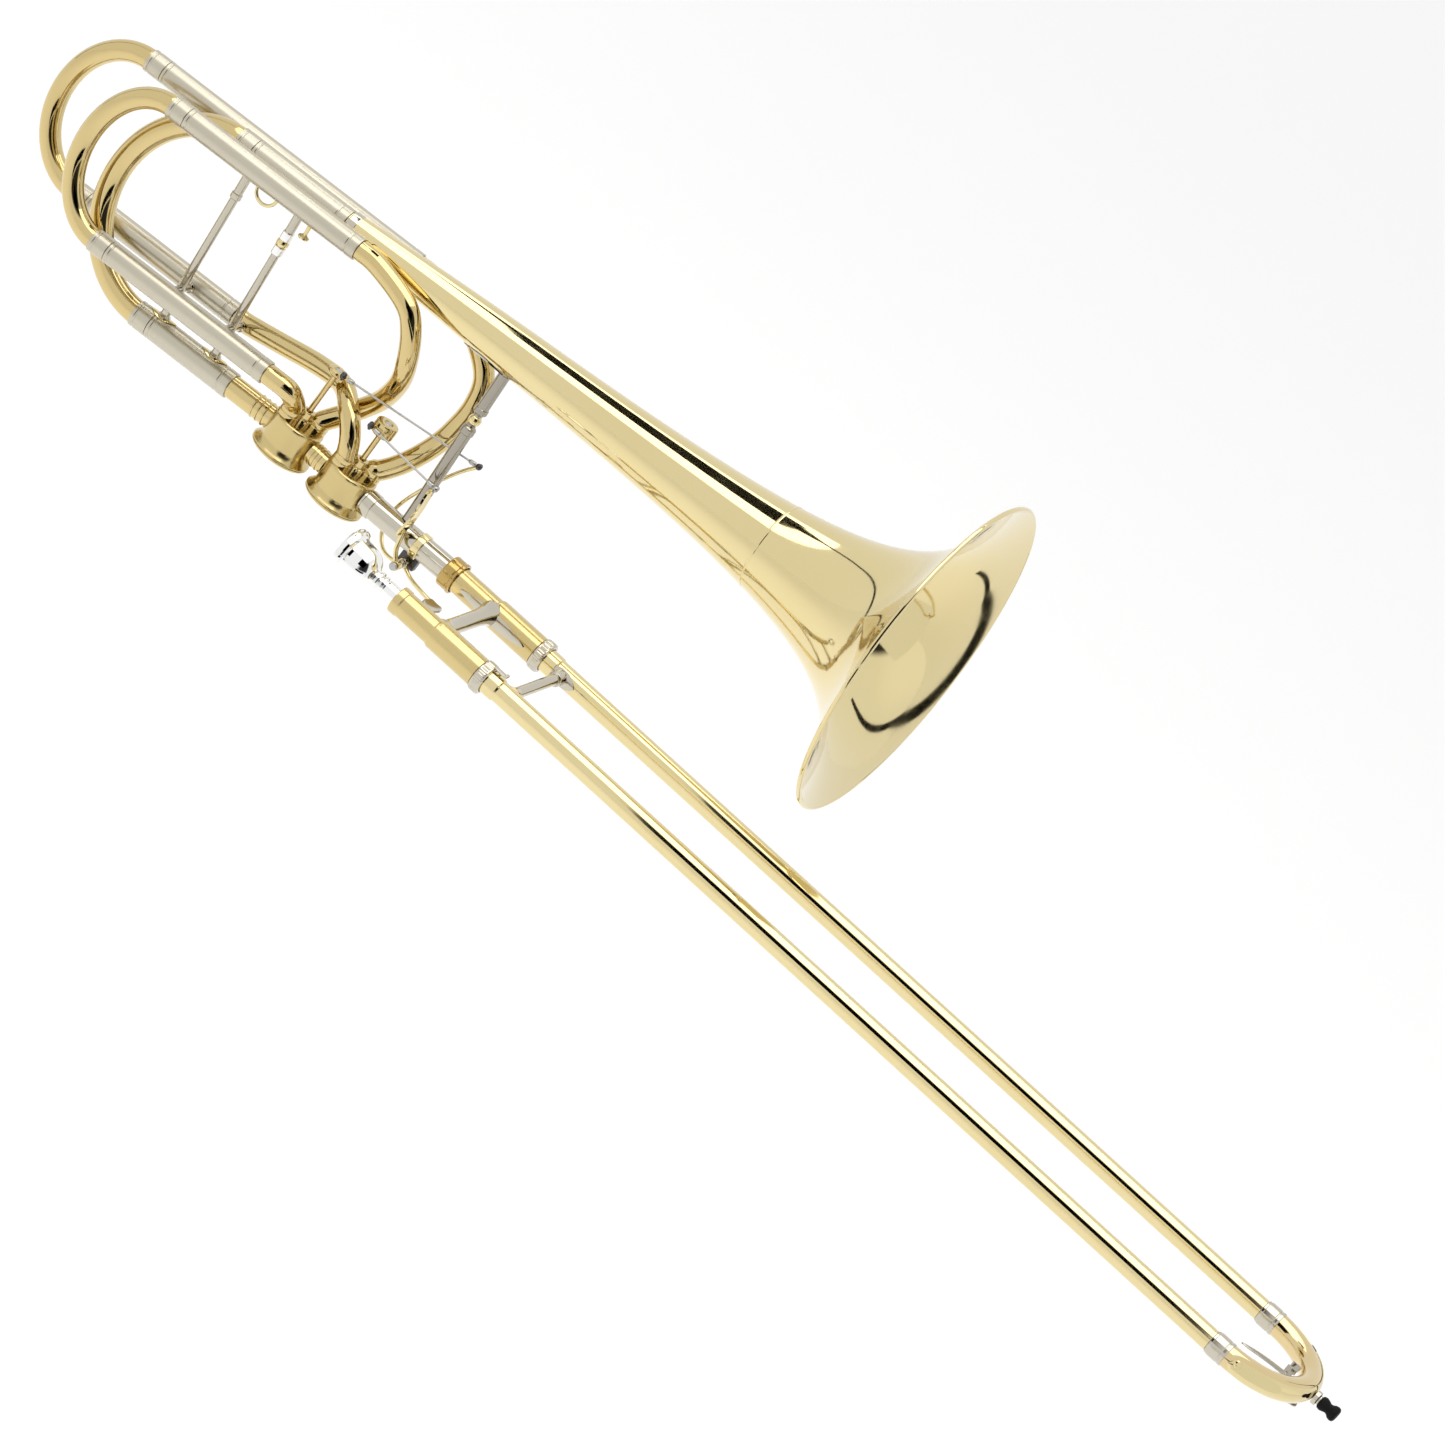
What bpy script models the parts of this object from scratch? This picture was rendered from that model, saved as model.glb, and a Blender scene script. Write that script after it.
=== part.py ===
"""Bass trombone with two in-line rotor valves, modelled in metres.

+X runs forward along the slide, +Z from the slide up to the bell, and the
origin is the middle of the hand brace, where the left hand holds it.
"""
import math

import bmesh
import bpy
from mathutils import Vector

# driving dimensions, metres
SIDES = 16                    # facets round a turned piece
BELL_SIDES = 28               # facets round the bell
GAP = 0.0003                  # clearance between neighbouring pieces
WALL = 0.0006                 # sheet thickness of the tubes
HALF_SPACING = 0.0475         # slide tube axis from the middle plane
OUTER_R = 0.0079              # outer slide tube
SLEEVE_R = 0.0088             # sleeve at the outer tubes' open ends
INNER_R = 0.0069              # inner slide tube
BARREL_R = 0.0098             # upper, narrow part of a cork barrel
CORK_BARREL_R = 0.0110        # lower, wide part of a cork barrel
BARREL_END = 0.041            # where the end rings start
RING_END = 0.0495             # where the end rings stop
SLIDE_END = 0.709             # where the outer tubes meet the crook ferrules
CROOK_START = 0.7215          # where the crook's half circle starts
CROOK_R = 0.0085              # crook tube
BELL_TILT = math.radians(4.7)  # bell section against the slide
BEND_X = -0.212               # where the bell section leaves the slide axis
PORT_Z = -0.0028              # height of the valves' through line
LEG_SPACING = 0.1466          # main leg to bell axis
MAIN_R = 0.0090               # main tubing
LOOP_R = 0.0078               # valve loop tubing
LOOP_Y = 0.022                # valve loops beside the main tubing
FRONT_LOW, FRONT_HIGH = 0.0322, 0.1445   # front loop legs
REAR_LOW, REAR_HIGH = 0.0345, 0.1450     # rear loop legs
MAIN_BOW_X, MAIN_BOW_DEPTH = -0.1176, 0.0655     # where a bow starts, and how far it reaches
FRONT_BOW_X, FRONT_BOW_DEPTH = -0.1635, 0.0432
REAR_BOW_X, REAR_BOW_DEPTH = -0.2100, 0.0468
FERRULE = 0.0132              # length of a tuning-slide ferrule
VALVE_X = {1: -0.1385, 2: -0.1890}
VALVE_R = 0.0192
VALVE_TOP = 0.0085
VALVE_BOTTOM = -0.0175
DRUM = {1: (0.0460, 0.0085, 0.0050), 2: (0.0535, 0.0072, 0.0020)}  # middle, radius, half height
BELL_TAIL = -0.0210
BELL_LENGTH = 0.4780          # where the flare ends, from the bend
RIM_R = 0.1255
KEY_PIN_X, KEY_PIN_Z = 0.7540, -0.0005   # water key's pin
KEY_Y = 0.0020                # water key beside the middle plane
LEVER_PIN = (-0.071, -0.0170)  # x and z of the levers' pin
FINGER_BALL = (-0.0725, 0.0120, 0.0665)   # link rod ends on the levers, beside the neckpipe
THUMB_BALL = (-0.0810, -0.0130, 0.0435)
# stop arms: reach, bearing at rest, height of the bar and of the ball above the drum's middle
STOP_ARM = {1: (0.0125, math.radians(240), -0.0010, -0.0010),
            2: (0.0115, math.radians(310), 0.0005, 0.0040)}
LOCK_NUT_END = -0.0445        # back face of the bell lock nut
NECK_END = -0.0408            # where the neckpipe meets the cork barrel

ALONG_X = (0, math.pi / 2, 0)   # turns a local Z axis to world X
UPRIGHT = (0, 0, 0)


def clear_scene():
    for obj in list(bpy.data.objects):
        bpy.data.objects.remove(obj, do_unlink=True)


def collection(name):
    group = bpy.data.collections.new(name)
    bpy.context.scene.collection.children.link(group)
    return group


def metal(name, colour, roughness, metallic=1.0):
    material = bpy.data.materials.new(name)
    material.use_nodes = True
    shader = material.node_tree.nodes["Principled BSDF"]
    shader.inputs["Base Color"].default_value = (*colour, 1)
    shader.inputs["Roughness"].default_value = roughness
    shader.inputs["Metallic"].default_value = metallic
    return material


clear_scene()
PARTS = collection("bass_trombone")
CUTTERS = collection("cutters")
FINISH = {
    "lacquer": ((0.80, 0.62, 0.27), 0.16, 1.0),
    "nickel": ((0.66, 0.63, 0.56), 0.22, 1.0),
    "silver": ((0.90, 0.90, 0.88), 0.08, 1.0),
    "steel": ((0.52, 0.51, 0.48), 0.30, 1.0),
    "rubber": ((0.02, 0.02, 0.02), 0.60, 0.0),
    "cork": ((0.48, 0.30, 0.16), 0.90, 0.0),
}


def empty(name, location=(0, 0, 0), parent=None, rotation=(0, 0, 0)):
    pivot = bpy.data.objects.new(name, None)
    bpy.context.scene.collection.objects.link(pivot)
    pivot.location = location
    pivot.rotation_euler = rotation
    pivot.parent = parent
    return pivot


def place(obj, finish, location=(0, 0, 0), parent=None, rotation=(0, 0, 0)):
    """Links an object, gives it its own material and puts it in place."""
    PARTS.objects.link(obj)
    colour, roughness, metallic = FINISH[finish]
    obj.data.materials.clear()
    obj.data.materials.append(metal(obj.name, colour, roughness, metallic))
    obj.location = location
    obj.rotation_euler = rotation
    obj.parent = parent
    return obj


def snug(radius, sides=SIDES):
    """Inner radius of a faceted ring that clears a round piece of this radius."""
    return (radius + GAP) / math.cos(math.pi / sides)


def profile_object(name, loops, steps):
    """A screw of one or more outlines of (radius, height), outer side downward."""
    mesh = bpy.data.meshes.new(name)
    shape = bmesh.new()
    for points, closed in loops:
        verts = [shape.verts.new((r, 0, z)) for r, z in points]
        for a, b in zip(verts, verts[1:]):
            shape.edges.new((a, b))
        if closed:
            shape.edges.new((verts[-1], verts[0]))
    shape.to_mesh(mesh)
    shape.free()
    obj = bpy.data.objects.new(name, mesh)
    screw = obj.modifiers.new("turn", "SCREW")
    screw.steps = steps
    screw.render_steps = steps
    screw.use_merge_vertices = True
    screw.merge_threshold = 0.00002
    screw.use_smooth_shade = True
    return obj


def turned(name, outline, finish, location, parent=None, steps=SIDES,
           rotation=ALONG_X, closed=False):
    """A turned piece. outline lists (radius, distance along the axis), far end first."""
    return place(profile_object(name, [(outline, closed)], steps),
                 finish, location, parent, rotation)


def sleeve_outline(start, end, outer, inner):
    return [(inner, end), (outer, end), (outer, start), (inner, start)]


def ring(name, start, end, outer, inner, finish, location, parent=None, steps=SIDES,
         rotation=ALONG_X):
    return turned(name, sleeve_outline(start, end, outer, inner), finish, location,
                  parent, steps, rotation, closed=True)


def route_curve(name, points, radius, roundness, caps):
    data = bpy.data.curves.new(name, "CURVE")
    data.dimensions = "3D"
    data.bevel_depth = radius
    data.bevel_resolution = roundness
    data.use_fill_caps = caps
    spline = data.splines.new("POLY")
    spline.points.add(len(points) - 1)
    for slot, point in zip(spline.points, points):
        slot.co = (*point, 1)
    return bpy.data.objects.new(name, data)


def pipe(name, points, radius, finish, location=(0, 0, 0), parent=None,
         roundness=3, wall=WALL, rotation=(0, 0, 0)):
    """A hollow bent tube along the points, open at both ends."""
    obj = route_curve(name, points, radius, roundness, caps=False)
    shell = obj.modifiers.new("wall", "SOLIDIFY")
    shell.thickness = wall
    shell.offset = -1
    return place(obj, finish, location, parent, rotation)


def wire(name, points, radius, finish, location=(0, 0, 0), parent=None,
         roundness=1, rotation=(0, 0, 0)):
    return place(route_curve(name, points, radius, roundness, caps=True),
                 finish, location, parent, rotation)


def as_mesh(obj):
    """Turns a placed curve or modified object into a welded mesh object."""
    bpy.context.view_layer.update()
    graph = bpy.context.evaluated_depsgraph_get()
    mesh = bpy.data.meshes.new_from_object(obj.evaluated_get(graph))
    shape = bmesh.new()
    shape.from_mesh(mesh)
    bmesh.ops.remove_doubles(shape, verts=shape.verts, dist=0.00001)
    shape.to_mesh(mesh)
    shape.free()
    name = obj.name
    parent, matrix = obj.parent, obj.matrix_world.copy()
    group = obj.users_collection[0]
    bpy.data.objects.remove(obj, do_unlink=True)
    mesh.name = name
    made = bpy.data.objects.new(name, mesh)
    group.objects.link(made)
    made.parent = parent
    made.matrix_world = matrix
    bpy.context.view_layer.update()
    return made


def hide_tool(tool):
    for group in list(tool.users_collection):
        group.objects.unlink(tool)
    CUTTERS.objects.link(tool)
    tool.hide_render = True
    tool.display_type = "WIRE"


def combine(obj, tool, operation):
    """Boolean of a mesh object with a tool, which moves to the cutters."""
    modifier = obj.modifiers.new(operation.lower(), "BOOLEAN")
    modifier.operation = operation
    modifier.solver = "EXACT"
    modifier.object = tool
    hide_tool(tool)


def rod(name, start, end, radius, finish, parent=None, steps=12):
    """A straight solid bar between two points."""
    a, b = Vector(start), Vector(end)
    turn = (b - a).to_track_quat("Z", "Y").to_euler()
    outline = [(0, (b - a).length), (radius, (b - a).length), (radius, 0), (0, 0)]
    return turned(name, outline, finish, start, parent, steps, turn)


def block(name, size, finish, location, parent=None, rotation=(0, 0, 0), bevel=0.0005):
    mesh = bpy.data.meshes.new(name)
    shape = bmesh.new()
    bmesh.ops.create_cube(shape, size=1.0)
    bmesh.ops.scale(shape, vec=size, verts=shape.verts)
    shape.to_mesh(mesh)
    shape.free()
    obj = bpy.data.objects.new(name, mesh)
    if bevel:
        edge = obj.modifiers.new("edge", "BEVEL")
        edge.width = bevel
        edge.segments = 1
    return place(obj, finish, location, parent, rotation)


def ball(name, centre, radius, finish, parent=None):
    mesh = bpy.data.meshes.new(name)
    shape = bmesh.new()
    bmesh.ops.create_uvsphere(shape, u_segments=10, v_segments=6, radius=radius)
    shape.to_mesh(mesh)
    shape.free()
    return place(bpy.data.objects.new(name, mesh), finish, centre, parent)


def arc(centre, radius, start, end, count, y=0.0):
    """Points of an arc in the XZ plane, angles in degrees from +X towards +Z."""
    points = []
    for i in range(count + 1):
        angle = math.radians(start + (end - start) * i / count)
        points.append((centre[0] + radius * math.cos(angle), y,
                       centre[1] + radius * math.sin(angle)))
    return points


def smooth_route(guides, count):
    """Points of a Catmull-Rom curve through a few guide points."""
    guides = [Vector(g) for g in guides]
    ends = [2 * guides[0] - guides[1]] + guides + [2 * guides[-1] - guides[-2]]
    points = []
    spans = len(guides) - 1
    for i in range(count + 1):
        place_on = min(i * spans / count, spans - 1e-9)
        k = int(place_on)
        t = place_on - k
        a, b, c, d = ends[k:k + 4]
        points.append(0.5 * (2 * b + (c - a) * t + (2 * a - 5 * b + 4 * c - d) * t * t
                             + (3 * b - a - 3 * c + d) * t ** 3))
    return points


def helix(centre, radius, pitch, turns, per_turn=8):
    """Points of a coil wound round an axis along Y."""
    return [(centre[0] + radius * math.cos(2 * math.pi * i / per_turn),
             centre[1] + pitch * i / per_turn,
             centre[2] + radius * math.sin(2 * math.pi * i / per_turn))
            for i in range(int(turns * per_turn) + 1)]


BELL_SIDE = (0, HALF_SPACING, 0)
MOUTH_SIDE = (0, -HALF_SPACING, 0)


def inner_slide():
    """The grip: two cork barrels, their tubes and the brace between them."""
    grip = empty("inner_slide_pivot")
    bore = snug(INNER_R)
    lip = BARREL_R - 0.0012
    wide_in = CORK_BARREL_R - 0.0010
    for side, spot, start in (("bell_side", BELL_SIDE, NECK_END + GAP),
                              ("mouthpiece_side", MOUTH_SIDE, -0.0350)):
        outline = [(wide_in, BARREL_END), (CORK_BARREL_R, BARREL_END),
                   (CORK_BARREL_R, 0.0015), (BARREL_R, -0.0005), (BARREL_R, start + 0.006),
                   (BARREL_R + 0.0006, start + 0.0055), (BARREL_R + 0.0006, start),
                   (lip, start), (lip, -0.018), (bore, -0.018), (bore, 0.004),
                   (wide_in, 0.004)]
        turned(f"cork_barrel_{side}", outline, "lacquer", spot, grip, closed=True)
        ring(f"inner_tube_{side}", -0.0165, 0.690, INNER_R, INNER_R - WALL, "nickel",
             spot, grip)
        ring(f"slide_cork_{side}", 0.0045, 0.0105, wide_in - 0.0006, bore, "cork", spot, grip)
    ring("barrel_end_ring", BARREL_END + GAP, RING_END, 0.0122, snug(SLEEVE_R),
         "nickel", BELL_SIDE, grip)
    hand_brace(grip)
    return grip


def tube_cutter(name, radius, spot, parent):
    """A long bar along X that leaves the gap round a tube."""
    tool = turned(name, [(0, 0.12), (radius, 0.12), (radius, -0.12), (0, -0.12)],
                  "steel", spot, parent, steps=32)
    return tool


def hand_brace(grip):
    """A round bar between the barrels that flares into a long foot at each end."""
    reach = HALF_SPACING - 0.0065
    outline = [(0, reach), (0.0100, reach), (0.0080, reach - 0.006), (0.0060, reach - 0.013),
               (0.0060, 0.013 - reach), (0.0080, 0.006 - reach), (0.0100, -reach), (0, -reach)]
    brace = turned("hand_brace", outline, "nickel", (0, 0, 0), grip,
                   rotation=(math.pi / 2, 0, 0))
    brace = as_mesh(brace)
    for i, spot in enumerate((BELL_SIDE, MOUTH_SIDE)):
        combine(brace, tube_cutter(f"hand_brace_saddle_{i}", CORK_BARREL_R + 0.0004, spot, grip),
                "DIFFERENCE")


def slide_lock(grip):
    """The knurled ring and its tongue that hooks the outer slide's lug."""
    pivot = empty("slide_lock_pivot", MOUTH_SIDE, grip)
    lock = ring("slide_lock_ring", BARREL_END + GAP, RING_END, 0.0122,
                snug(SLEEVE_R), "nickel", (0, 0, 0), pivot)
    lock = as_mesh(lock)
    tongue = as_mesh(block("slide_lock_tongue", (0.0120, 0.0048, 0.0016), "nickel",
                           (RING_END + 0.0040, 0, 0.01115), pivot, bevel=0))
    combine(lock, tongue, "UNION")
    hook = as_mesh(block("slide_lock_hook", (0.0022, 0.0048, 0.0020), "nickel",
                         (RING_END + 0.0089, 0, 0.01205), pivot, bevel=0))
    combine(lock, hook, "UNION")


def outer_slide(grip):
    """The U that slides: tubes, top sleeves, brace, ferrules and crook."""
    carrier = empty("outer_slide_pivot", (0, 0, 0), grip)
    for side, spot in (("bell_side", BELL_SIDE), ("mouthpiece_side", MOUTH_SIDE)):
        bore = snug(INNER_R)
        tube = turned(f"outer_tube_{side}", [
            (bore, SLIDE_END), (OUTER_R, SLIDE_END), (OUTER_R, 0.0600), (SLEEVE_R, 0.0590),
            (SLEEVE_R, 0.0120), (bore, 0.0120)], "lacquer", spot, carrier, closed=True)
        if side == "mouthpiece_side":
            tube = as_mesh(tube)
            lug = as_mesh(rod("slide_lock_lug", (0.0535, -HALF_SPACING, 0.0078),
                              (0.0535, -HALF_SPACING, 0.0100), 0.0013, "lacquer", carrier,
                              steps=8))
            combine(tube, lug, "UNION")
    crook = pipe("slide_crook", [
        (CROOK_START + HALF_SPACING * math.cos(math.radians(a)),
         HALF_SPACING * math.sin(math.radians(a)), 0) for a in range(90, -91, -15)],
        CROOK_R, "lacquer", parent=carrier)
    crook = as_mesh(crook)
    for i, spot in enumerate((BELL_SIDE, MOUTH_SIDE)):
        ferrule = as_mesh(turned(f"crook_ferrule_{i}", [
            (INNER_R, CROOK_START + 0.0015), (0.0091, CROOK_START + 0.0015),
            (0.0091, SLIDE_END + GAP), (INNER_R, SLIDE_END + GAP)],
            "nickel", spot, carrier, 12, closed=True))
        combine(crook, ferrule, "UNION")
    outer_brace(carrier)
    crook_guard(carrier)
    bumper(carrier)
    return carrier


def outer_brace(carrier):
    reach = HALF_SPACING - 0.0045
    x = 0.0660
    outline = [(0, reach), (0.0050, reach), (0.0050, reach - 0.012), (0.0041, reach - 0.0125),
               (0.0041, 0.0125 - reach), (0.0050, 0.012 - reach), (0.0050, -reach), (0, -reach)]
    brace = turned("outer_brace", outline, "nickel", (x, 0, 0), carrier,
                   rotation=(math.pi / 2, 0, 0))
    brace = as_mesh(brace)
    for i, spot in enumerate((BELL_SIDE, MOUTH_SIDE)):
        tool = tube_cutter(f"outer_brace_saddle_{i}", OUTER_R + 0.0004,
                           (x, spot[1], 0), carrier)
        combine(brace, tool, "DIFFERENCE")


def crook_guard(carrier):
    """A thin plate bent over the outside of the crook."""
    half_band = math.radians(48)
    seat = CROOK_R + 0.0004
    mesh = bpy.data.meshes.new("crook_guard")
    shape = bmesh.new()
    grid = []
    for i in range(15):
        sweep = math.radians(-85 + 170 * i / 14)
        row = []
        for j in range(5):
            tilt = -half_band + 2 * half_band * j / 4
            radius = HALF_SPACING + seat * math.cos(tilt)
            row.append(shape.verts.new((CROOK_START + radius * math.cos(sweep),
                                        radius * math.sin(sweep), seat * math.sin(tilt))))
        grid.append(row)
    for low, high in zip(grid, grid[1:]):
        for j in range(4):
            shape.faces.new((low[j], high[j], high[j + 1], low[j + 1]))
    shape.to_mesh(mesh)
    shape.free()
    guard = bpy.data.objects.new("crook_guard", mesh)
    shell = guard.modifiers.new("sheet", "SOLIDIFY")
    shell.thickness = 0.0006
    shell.offset = 1
    place(guard, "lacquer", (0, 0, 0), carrier)


def bumper(carrier):
    """The stem on the crook's tip and the rubber tip it rests on."""
    tip = CROOK_START + HALF_SPACING + CROOK_R + 0.0016
    turned("bumper_stem", [(0, tip + 0.0090), (0.0022, tip + 0.0090), (0.0022, tip + 0.0030),
                           (0.0052, tip + 0.0024), (0.0052, tip), (0, tip)],
           "nickel", (0, 0, 0), carrier, steps=12)
    face = tip + 0.0190
    turned("bumper_tip", [(0, face), (0.0044, face), (0.0056, face - 0.0012),
                          (0.0056, tip + 0.0085), (0.0045, tip + 0.0060),
                          (0.0050, tip + 0.0030), (snug(0.0022, 12), tip + 0.0030),
                          (snug(0.0022, 12), tip + 0.0094), (0, tip + 0.0094)],
           "rubber", (0, 0, 0), carrier, steps=12)


def water_key(carrier):
    """The key that drains the crook: nipple, saddle, pin, lever, cork and spring."""
    apex = CROOK_START + HALF_SPACING
    inside = apex - CROOK_R
    low = -CROOK_R - GAP
    ring("water_key_nipple", low - 0.0030, low, 0.0038, 0.0018, "nickel",
         (apex, KEY_Y, 0), carrier, 12, UPRIGHT)
    saddle = as_mesh(block("water_key_saddle", (0.0040, 0.0106, 0.0030), "nickel",
                           (inside - 0.0036, KEY_Y + 0.0014, KEY_PIN_Z + 0.0042), carrier,
                           bevel=0))
    for i, y in enumerate((KEY_Y - 0.0034, KEY_Y + 0.0062)):
        lug = as_mesh(block(f"saddle_lug_{i}", (0.0064, 0.0010, 0.0079), "nickel",
                            (KEY_PIN_X + 0.0008, y, KEY_PIN_Z + 0.00175), carrier, bevel=0))
        combine(saddle, lug, "UNION")
    hole = as_mesh(rod("saddle_pin_hole", (KEY_PIN_X, -0.02, KEY_PIN_Z),
                       (KEY_PIN_X, 0.02, KEY_PIN_Z), 0.0012, "steel", carrier))
    combine(saddle, hole, "DIFFERENCE")
    rod("water_key_pin", (KEY_PIN_X, KEY_Y - 0.0046, KEY_PIN_Z),
        (KEY_PIN_X, KEY_Y + 0.0074, KEY_PIN_Z), 0.0008, "steel", carrier, steps=8)

    pivot = empty("water_key_pivot", (KEY_PIN_X, KEY_Y, KEY_PIN_Z), carrier)
    across = (math.pi / 2, 0, 0)
    lever = as_mesh(ring("water_key_lever", -0.0026, 0.0026, 0.0022, snug(0.0008, 12),
                         "nickel", (0, 0, 0), pivot, 12, across))
    touch = as_mesh(block("lever_touch", (0.0340, 0.0058, 0.0012), "nickel",
                          (-0.0186, 0, -0.0022), pivot, (0, math.radians(-8), 0), bevel=0))
    combine(lever, touch, "UNION")
    reach = apex - KEY_PIN_X
    seat = low - 0.0030 - GAP - 0.0022 - GAP - KEY_PIN_Z
    arm = as_mesh(wire("lever_arm", smooth_route(
        [(0.0006, 0, -0.0016), (0.0016, 0, -0.0070), (0.0055, 0, seat - 0.0010),
         (reach - 0.0010, 0, seat - 0.0018)], 8), 0.0013, "nickel", parent=pivot))
    combine(lever, arm, "UNION")
    plate = as_mesh(turned("lever_plate", [(0, seat), (0.0036, seat), (0.0036, seat - 0.0010),
                                           (0, seat - 0.0010)], "nickel", (reach, 0, 0),
                           pivot, 12, UPRIGHT))
    combine(lever, plate, "UNION")
    turned("water_key_cork", [(0, seat + GAP + 0.0022), (0.0034, seat + GAP + 0.0022),
                              (0.0034, seat + GAP), (0, seat + GAP)], "cork",
           (reach, 0, 0), pivot, 12, UPRIGHT)
    coil = helix((KEY_PIN_X, KEY_Y + 0.0030, KEY_PIN_Z), 0.0016, 0.0007, 3)
    wire("water_key_spring", coil, 0.0003, "steel", parent=carrier, roundness=0)


def mouthpiece(grip):
    """A deep cup with a rounded rim, a beaded neck and a tapered shank."""
    rim, mouth_r = -0.0850, 0.0203
    end = 0.0030 - 0.0200
    outline = [(0.0048, end), (0.0055, end), (0.0065, -0.0350), (0.0068, -0.0460),
               (0.0062, -0.0510), (0.0082, -0.0560), (0.0125, -0.0600), (0.0152, -0.0670),
               (0.0162, -0.0770), (0.0196, -0.0798), (mouth_r, -0.0825), (0.0186, rim),
               (0.0156, rim), (0.0140, -0.0820), (0.0132, -0.0720), (0.0095, -0.0600),
               (0.0037, -0.0545)]
    pivot = empty("mouthpiece_pivot", MOUTH_SIDE, grip)
    turned("mouthpiece", outline, "silver", (0, 0, 0), pivot, steps=16, closed=True)


def bell_radius(x):
    """Outer radius of the bell at x along its axis, a Bessel horn with a drawn-in tail."""
    reach = BELL_LENGTH + 0.0020 + 0.0228 - x
    radius = 0.1247 * (0.0228 / reach) ** 0.70
    if x < 0.140:
        radius -= 0.00426 * ((0.140 - x) / 0.1605) ** 1.7
    return radius


def bell(frame):
    """The bell tail and flare, with a flat-faced rolled rim."""
    stations = [BELL_TAIL + 0.0005, 0.045, 0.110, 0.180, 0.250, 0.310, 0.355, 0.390, 0.416,
                0.436, 0.452, 0.465, BELL_LENGTH]
    outline = [(bell_radius(x), x) for x in reversed(stations)]
    shell = profile_object("bell", [(outline, False)], BELL_SIDES)
    wall = shell.modifiers.new("sheet", "SOLIDIFY")
    wall.thickness = WALL
    wall.offset = -1
    place(shell, "lacquer", (0, 0, LEG_SPACING), frame, ALONG_X)
    edge = bell_radius(BELL_LENGTH) / math.cos(math.pi / BELL_SIDES) + GAP
    front = BELL_LENGTH + 0.0020
    turned("bell_rim", [(edge, front), (RIM_R - 0.0008, front), (RIM_R, front - 0.0012),
                        (RIM_R, front - 0.0028), (RIM_R - 0.0010, front - 0.0038),
                        (edge, front - 0.0038)],
           "lacquer", (0, 0, LEG_SPACING), frame, steps=BELL_SIDES, closed=True)


def tuning_slide(name, frame, bow_x, depth, low, high, y, radius):
    """A flattened bow with two ferrules, whose inner legs slide in the nickel sleeves."""
    pivot = empty(f"{name}_pivot", (bow_x, y, low), frame)
    reach = (high - low) / 2
    bow = [(x * depth / reach, 0, z) for x, _, z in arc((0, reach), reach, 270, 90, 14)]
    slide = as_mesh(pipe(name, bow, radius, "lacquer", parent=pivot))
    for side, z in (("low", 0), ("high", 2 * reach)):
        leg = as_mesh(turned(f"{name}_{side}_leg", [
            (radius - 0.0014, 0.060), (radius - 0.0006, 0.060), (radius - 0.0006, FERRULE),
            (radius + 0.0009, FERRULE), (radius + 0.0009, -0.0010), (radius - 0.0014, -0.0010)],
            "nickel", (0, 0, z), pivot, 12, closed=True))
        combine(slide, leg, "UNION")


def sleeve(name, frame, start, end, y, z, radius):
    """A nickel outer tube that a tuning-slide leg runs in."""
    inner = snug(radius - 0.0006)
    return ring(name, start, end, radius + 0.0008, inner, "nickel", (0, y, z), frame)


def sleeves_and_slides(frame):
    tuning_slide("main_slide", frame, MAIN_BOW_X, MAIN_BOW_DEPTH, 0, LEG_SPACING, 0, MAIN_R)
    tuning_slide("front_slide", frame, FRONT_BOW_X, FRONT_BOW_DEPTH, FRONT_LOW, FRONT_HIGH,
                 -LOOP_Y, LOOP_R)
    tuning_slide("rear_slide", frame, REAR_BOW_X, REAR_BOW_DEPTH, REAR_LOW, REAR_HIGH, LOOP_Y,
                 LOOP_R)
    gap = FERRULE + GAP
    sleeve("main_sleeve_lower", frame, MAIN_BOW_X + gap, -0.0320, 0, 0, MAIN_R)
    sleeve("main_sleeve_upper", frame, MAIN_BOW_X + gap, BELL_TAIL, 0, LEG_SPACING, MAIN_R)
    sleeve("front_sleeve_lower", frame, FRONT_BOW_X + gap, -0.0080, -LOOP_Y, FRONT_LOW, LOOP_R)
    upper = sleeve("front_sleeve_upper", frame, FRONT_BOW_X + gap, 0.0030, -LOOP_Y, FRONT_HIGH,
                   LOOP_R)
    sleeve_fittings(frame, as_mesh(upper))
    sleeve("rear_sleeve_lower", frame, REAR_BOW_X + gap, -0.0630, LOOP_Y, REAR_LOW, LOOP_R)
    sleeve("rear_sleeve_upper", frame, REAR_BOW_X + gap, 0.0300, LOOP_Y, REAR_HIGH, LOOP_R)
    ring("main_leg", -0.0317, 0.0022, MAIN_R - 0.0004, MAIN_R - 0.0010, "lacquer",
         (0, 0, 0), frame)


def in_bell_frame(point):
    """World point for a point given in the bell section's own frame."""
    x, y, z = point
    c, s = math.cos(BELL_TILT), math.sin(BELL_TILT)
    return (BEND_X + x * c - z * s, y + HALF_SPACING, -0.0044 + x * s + z * c)


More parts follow.
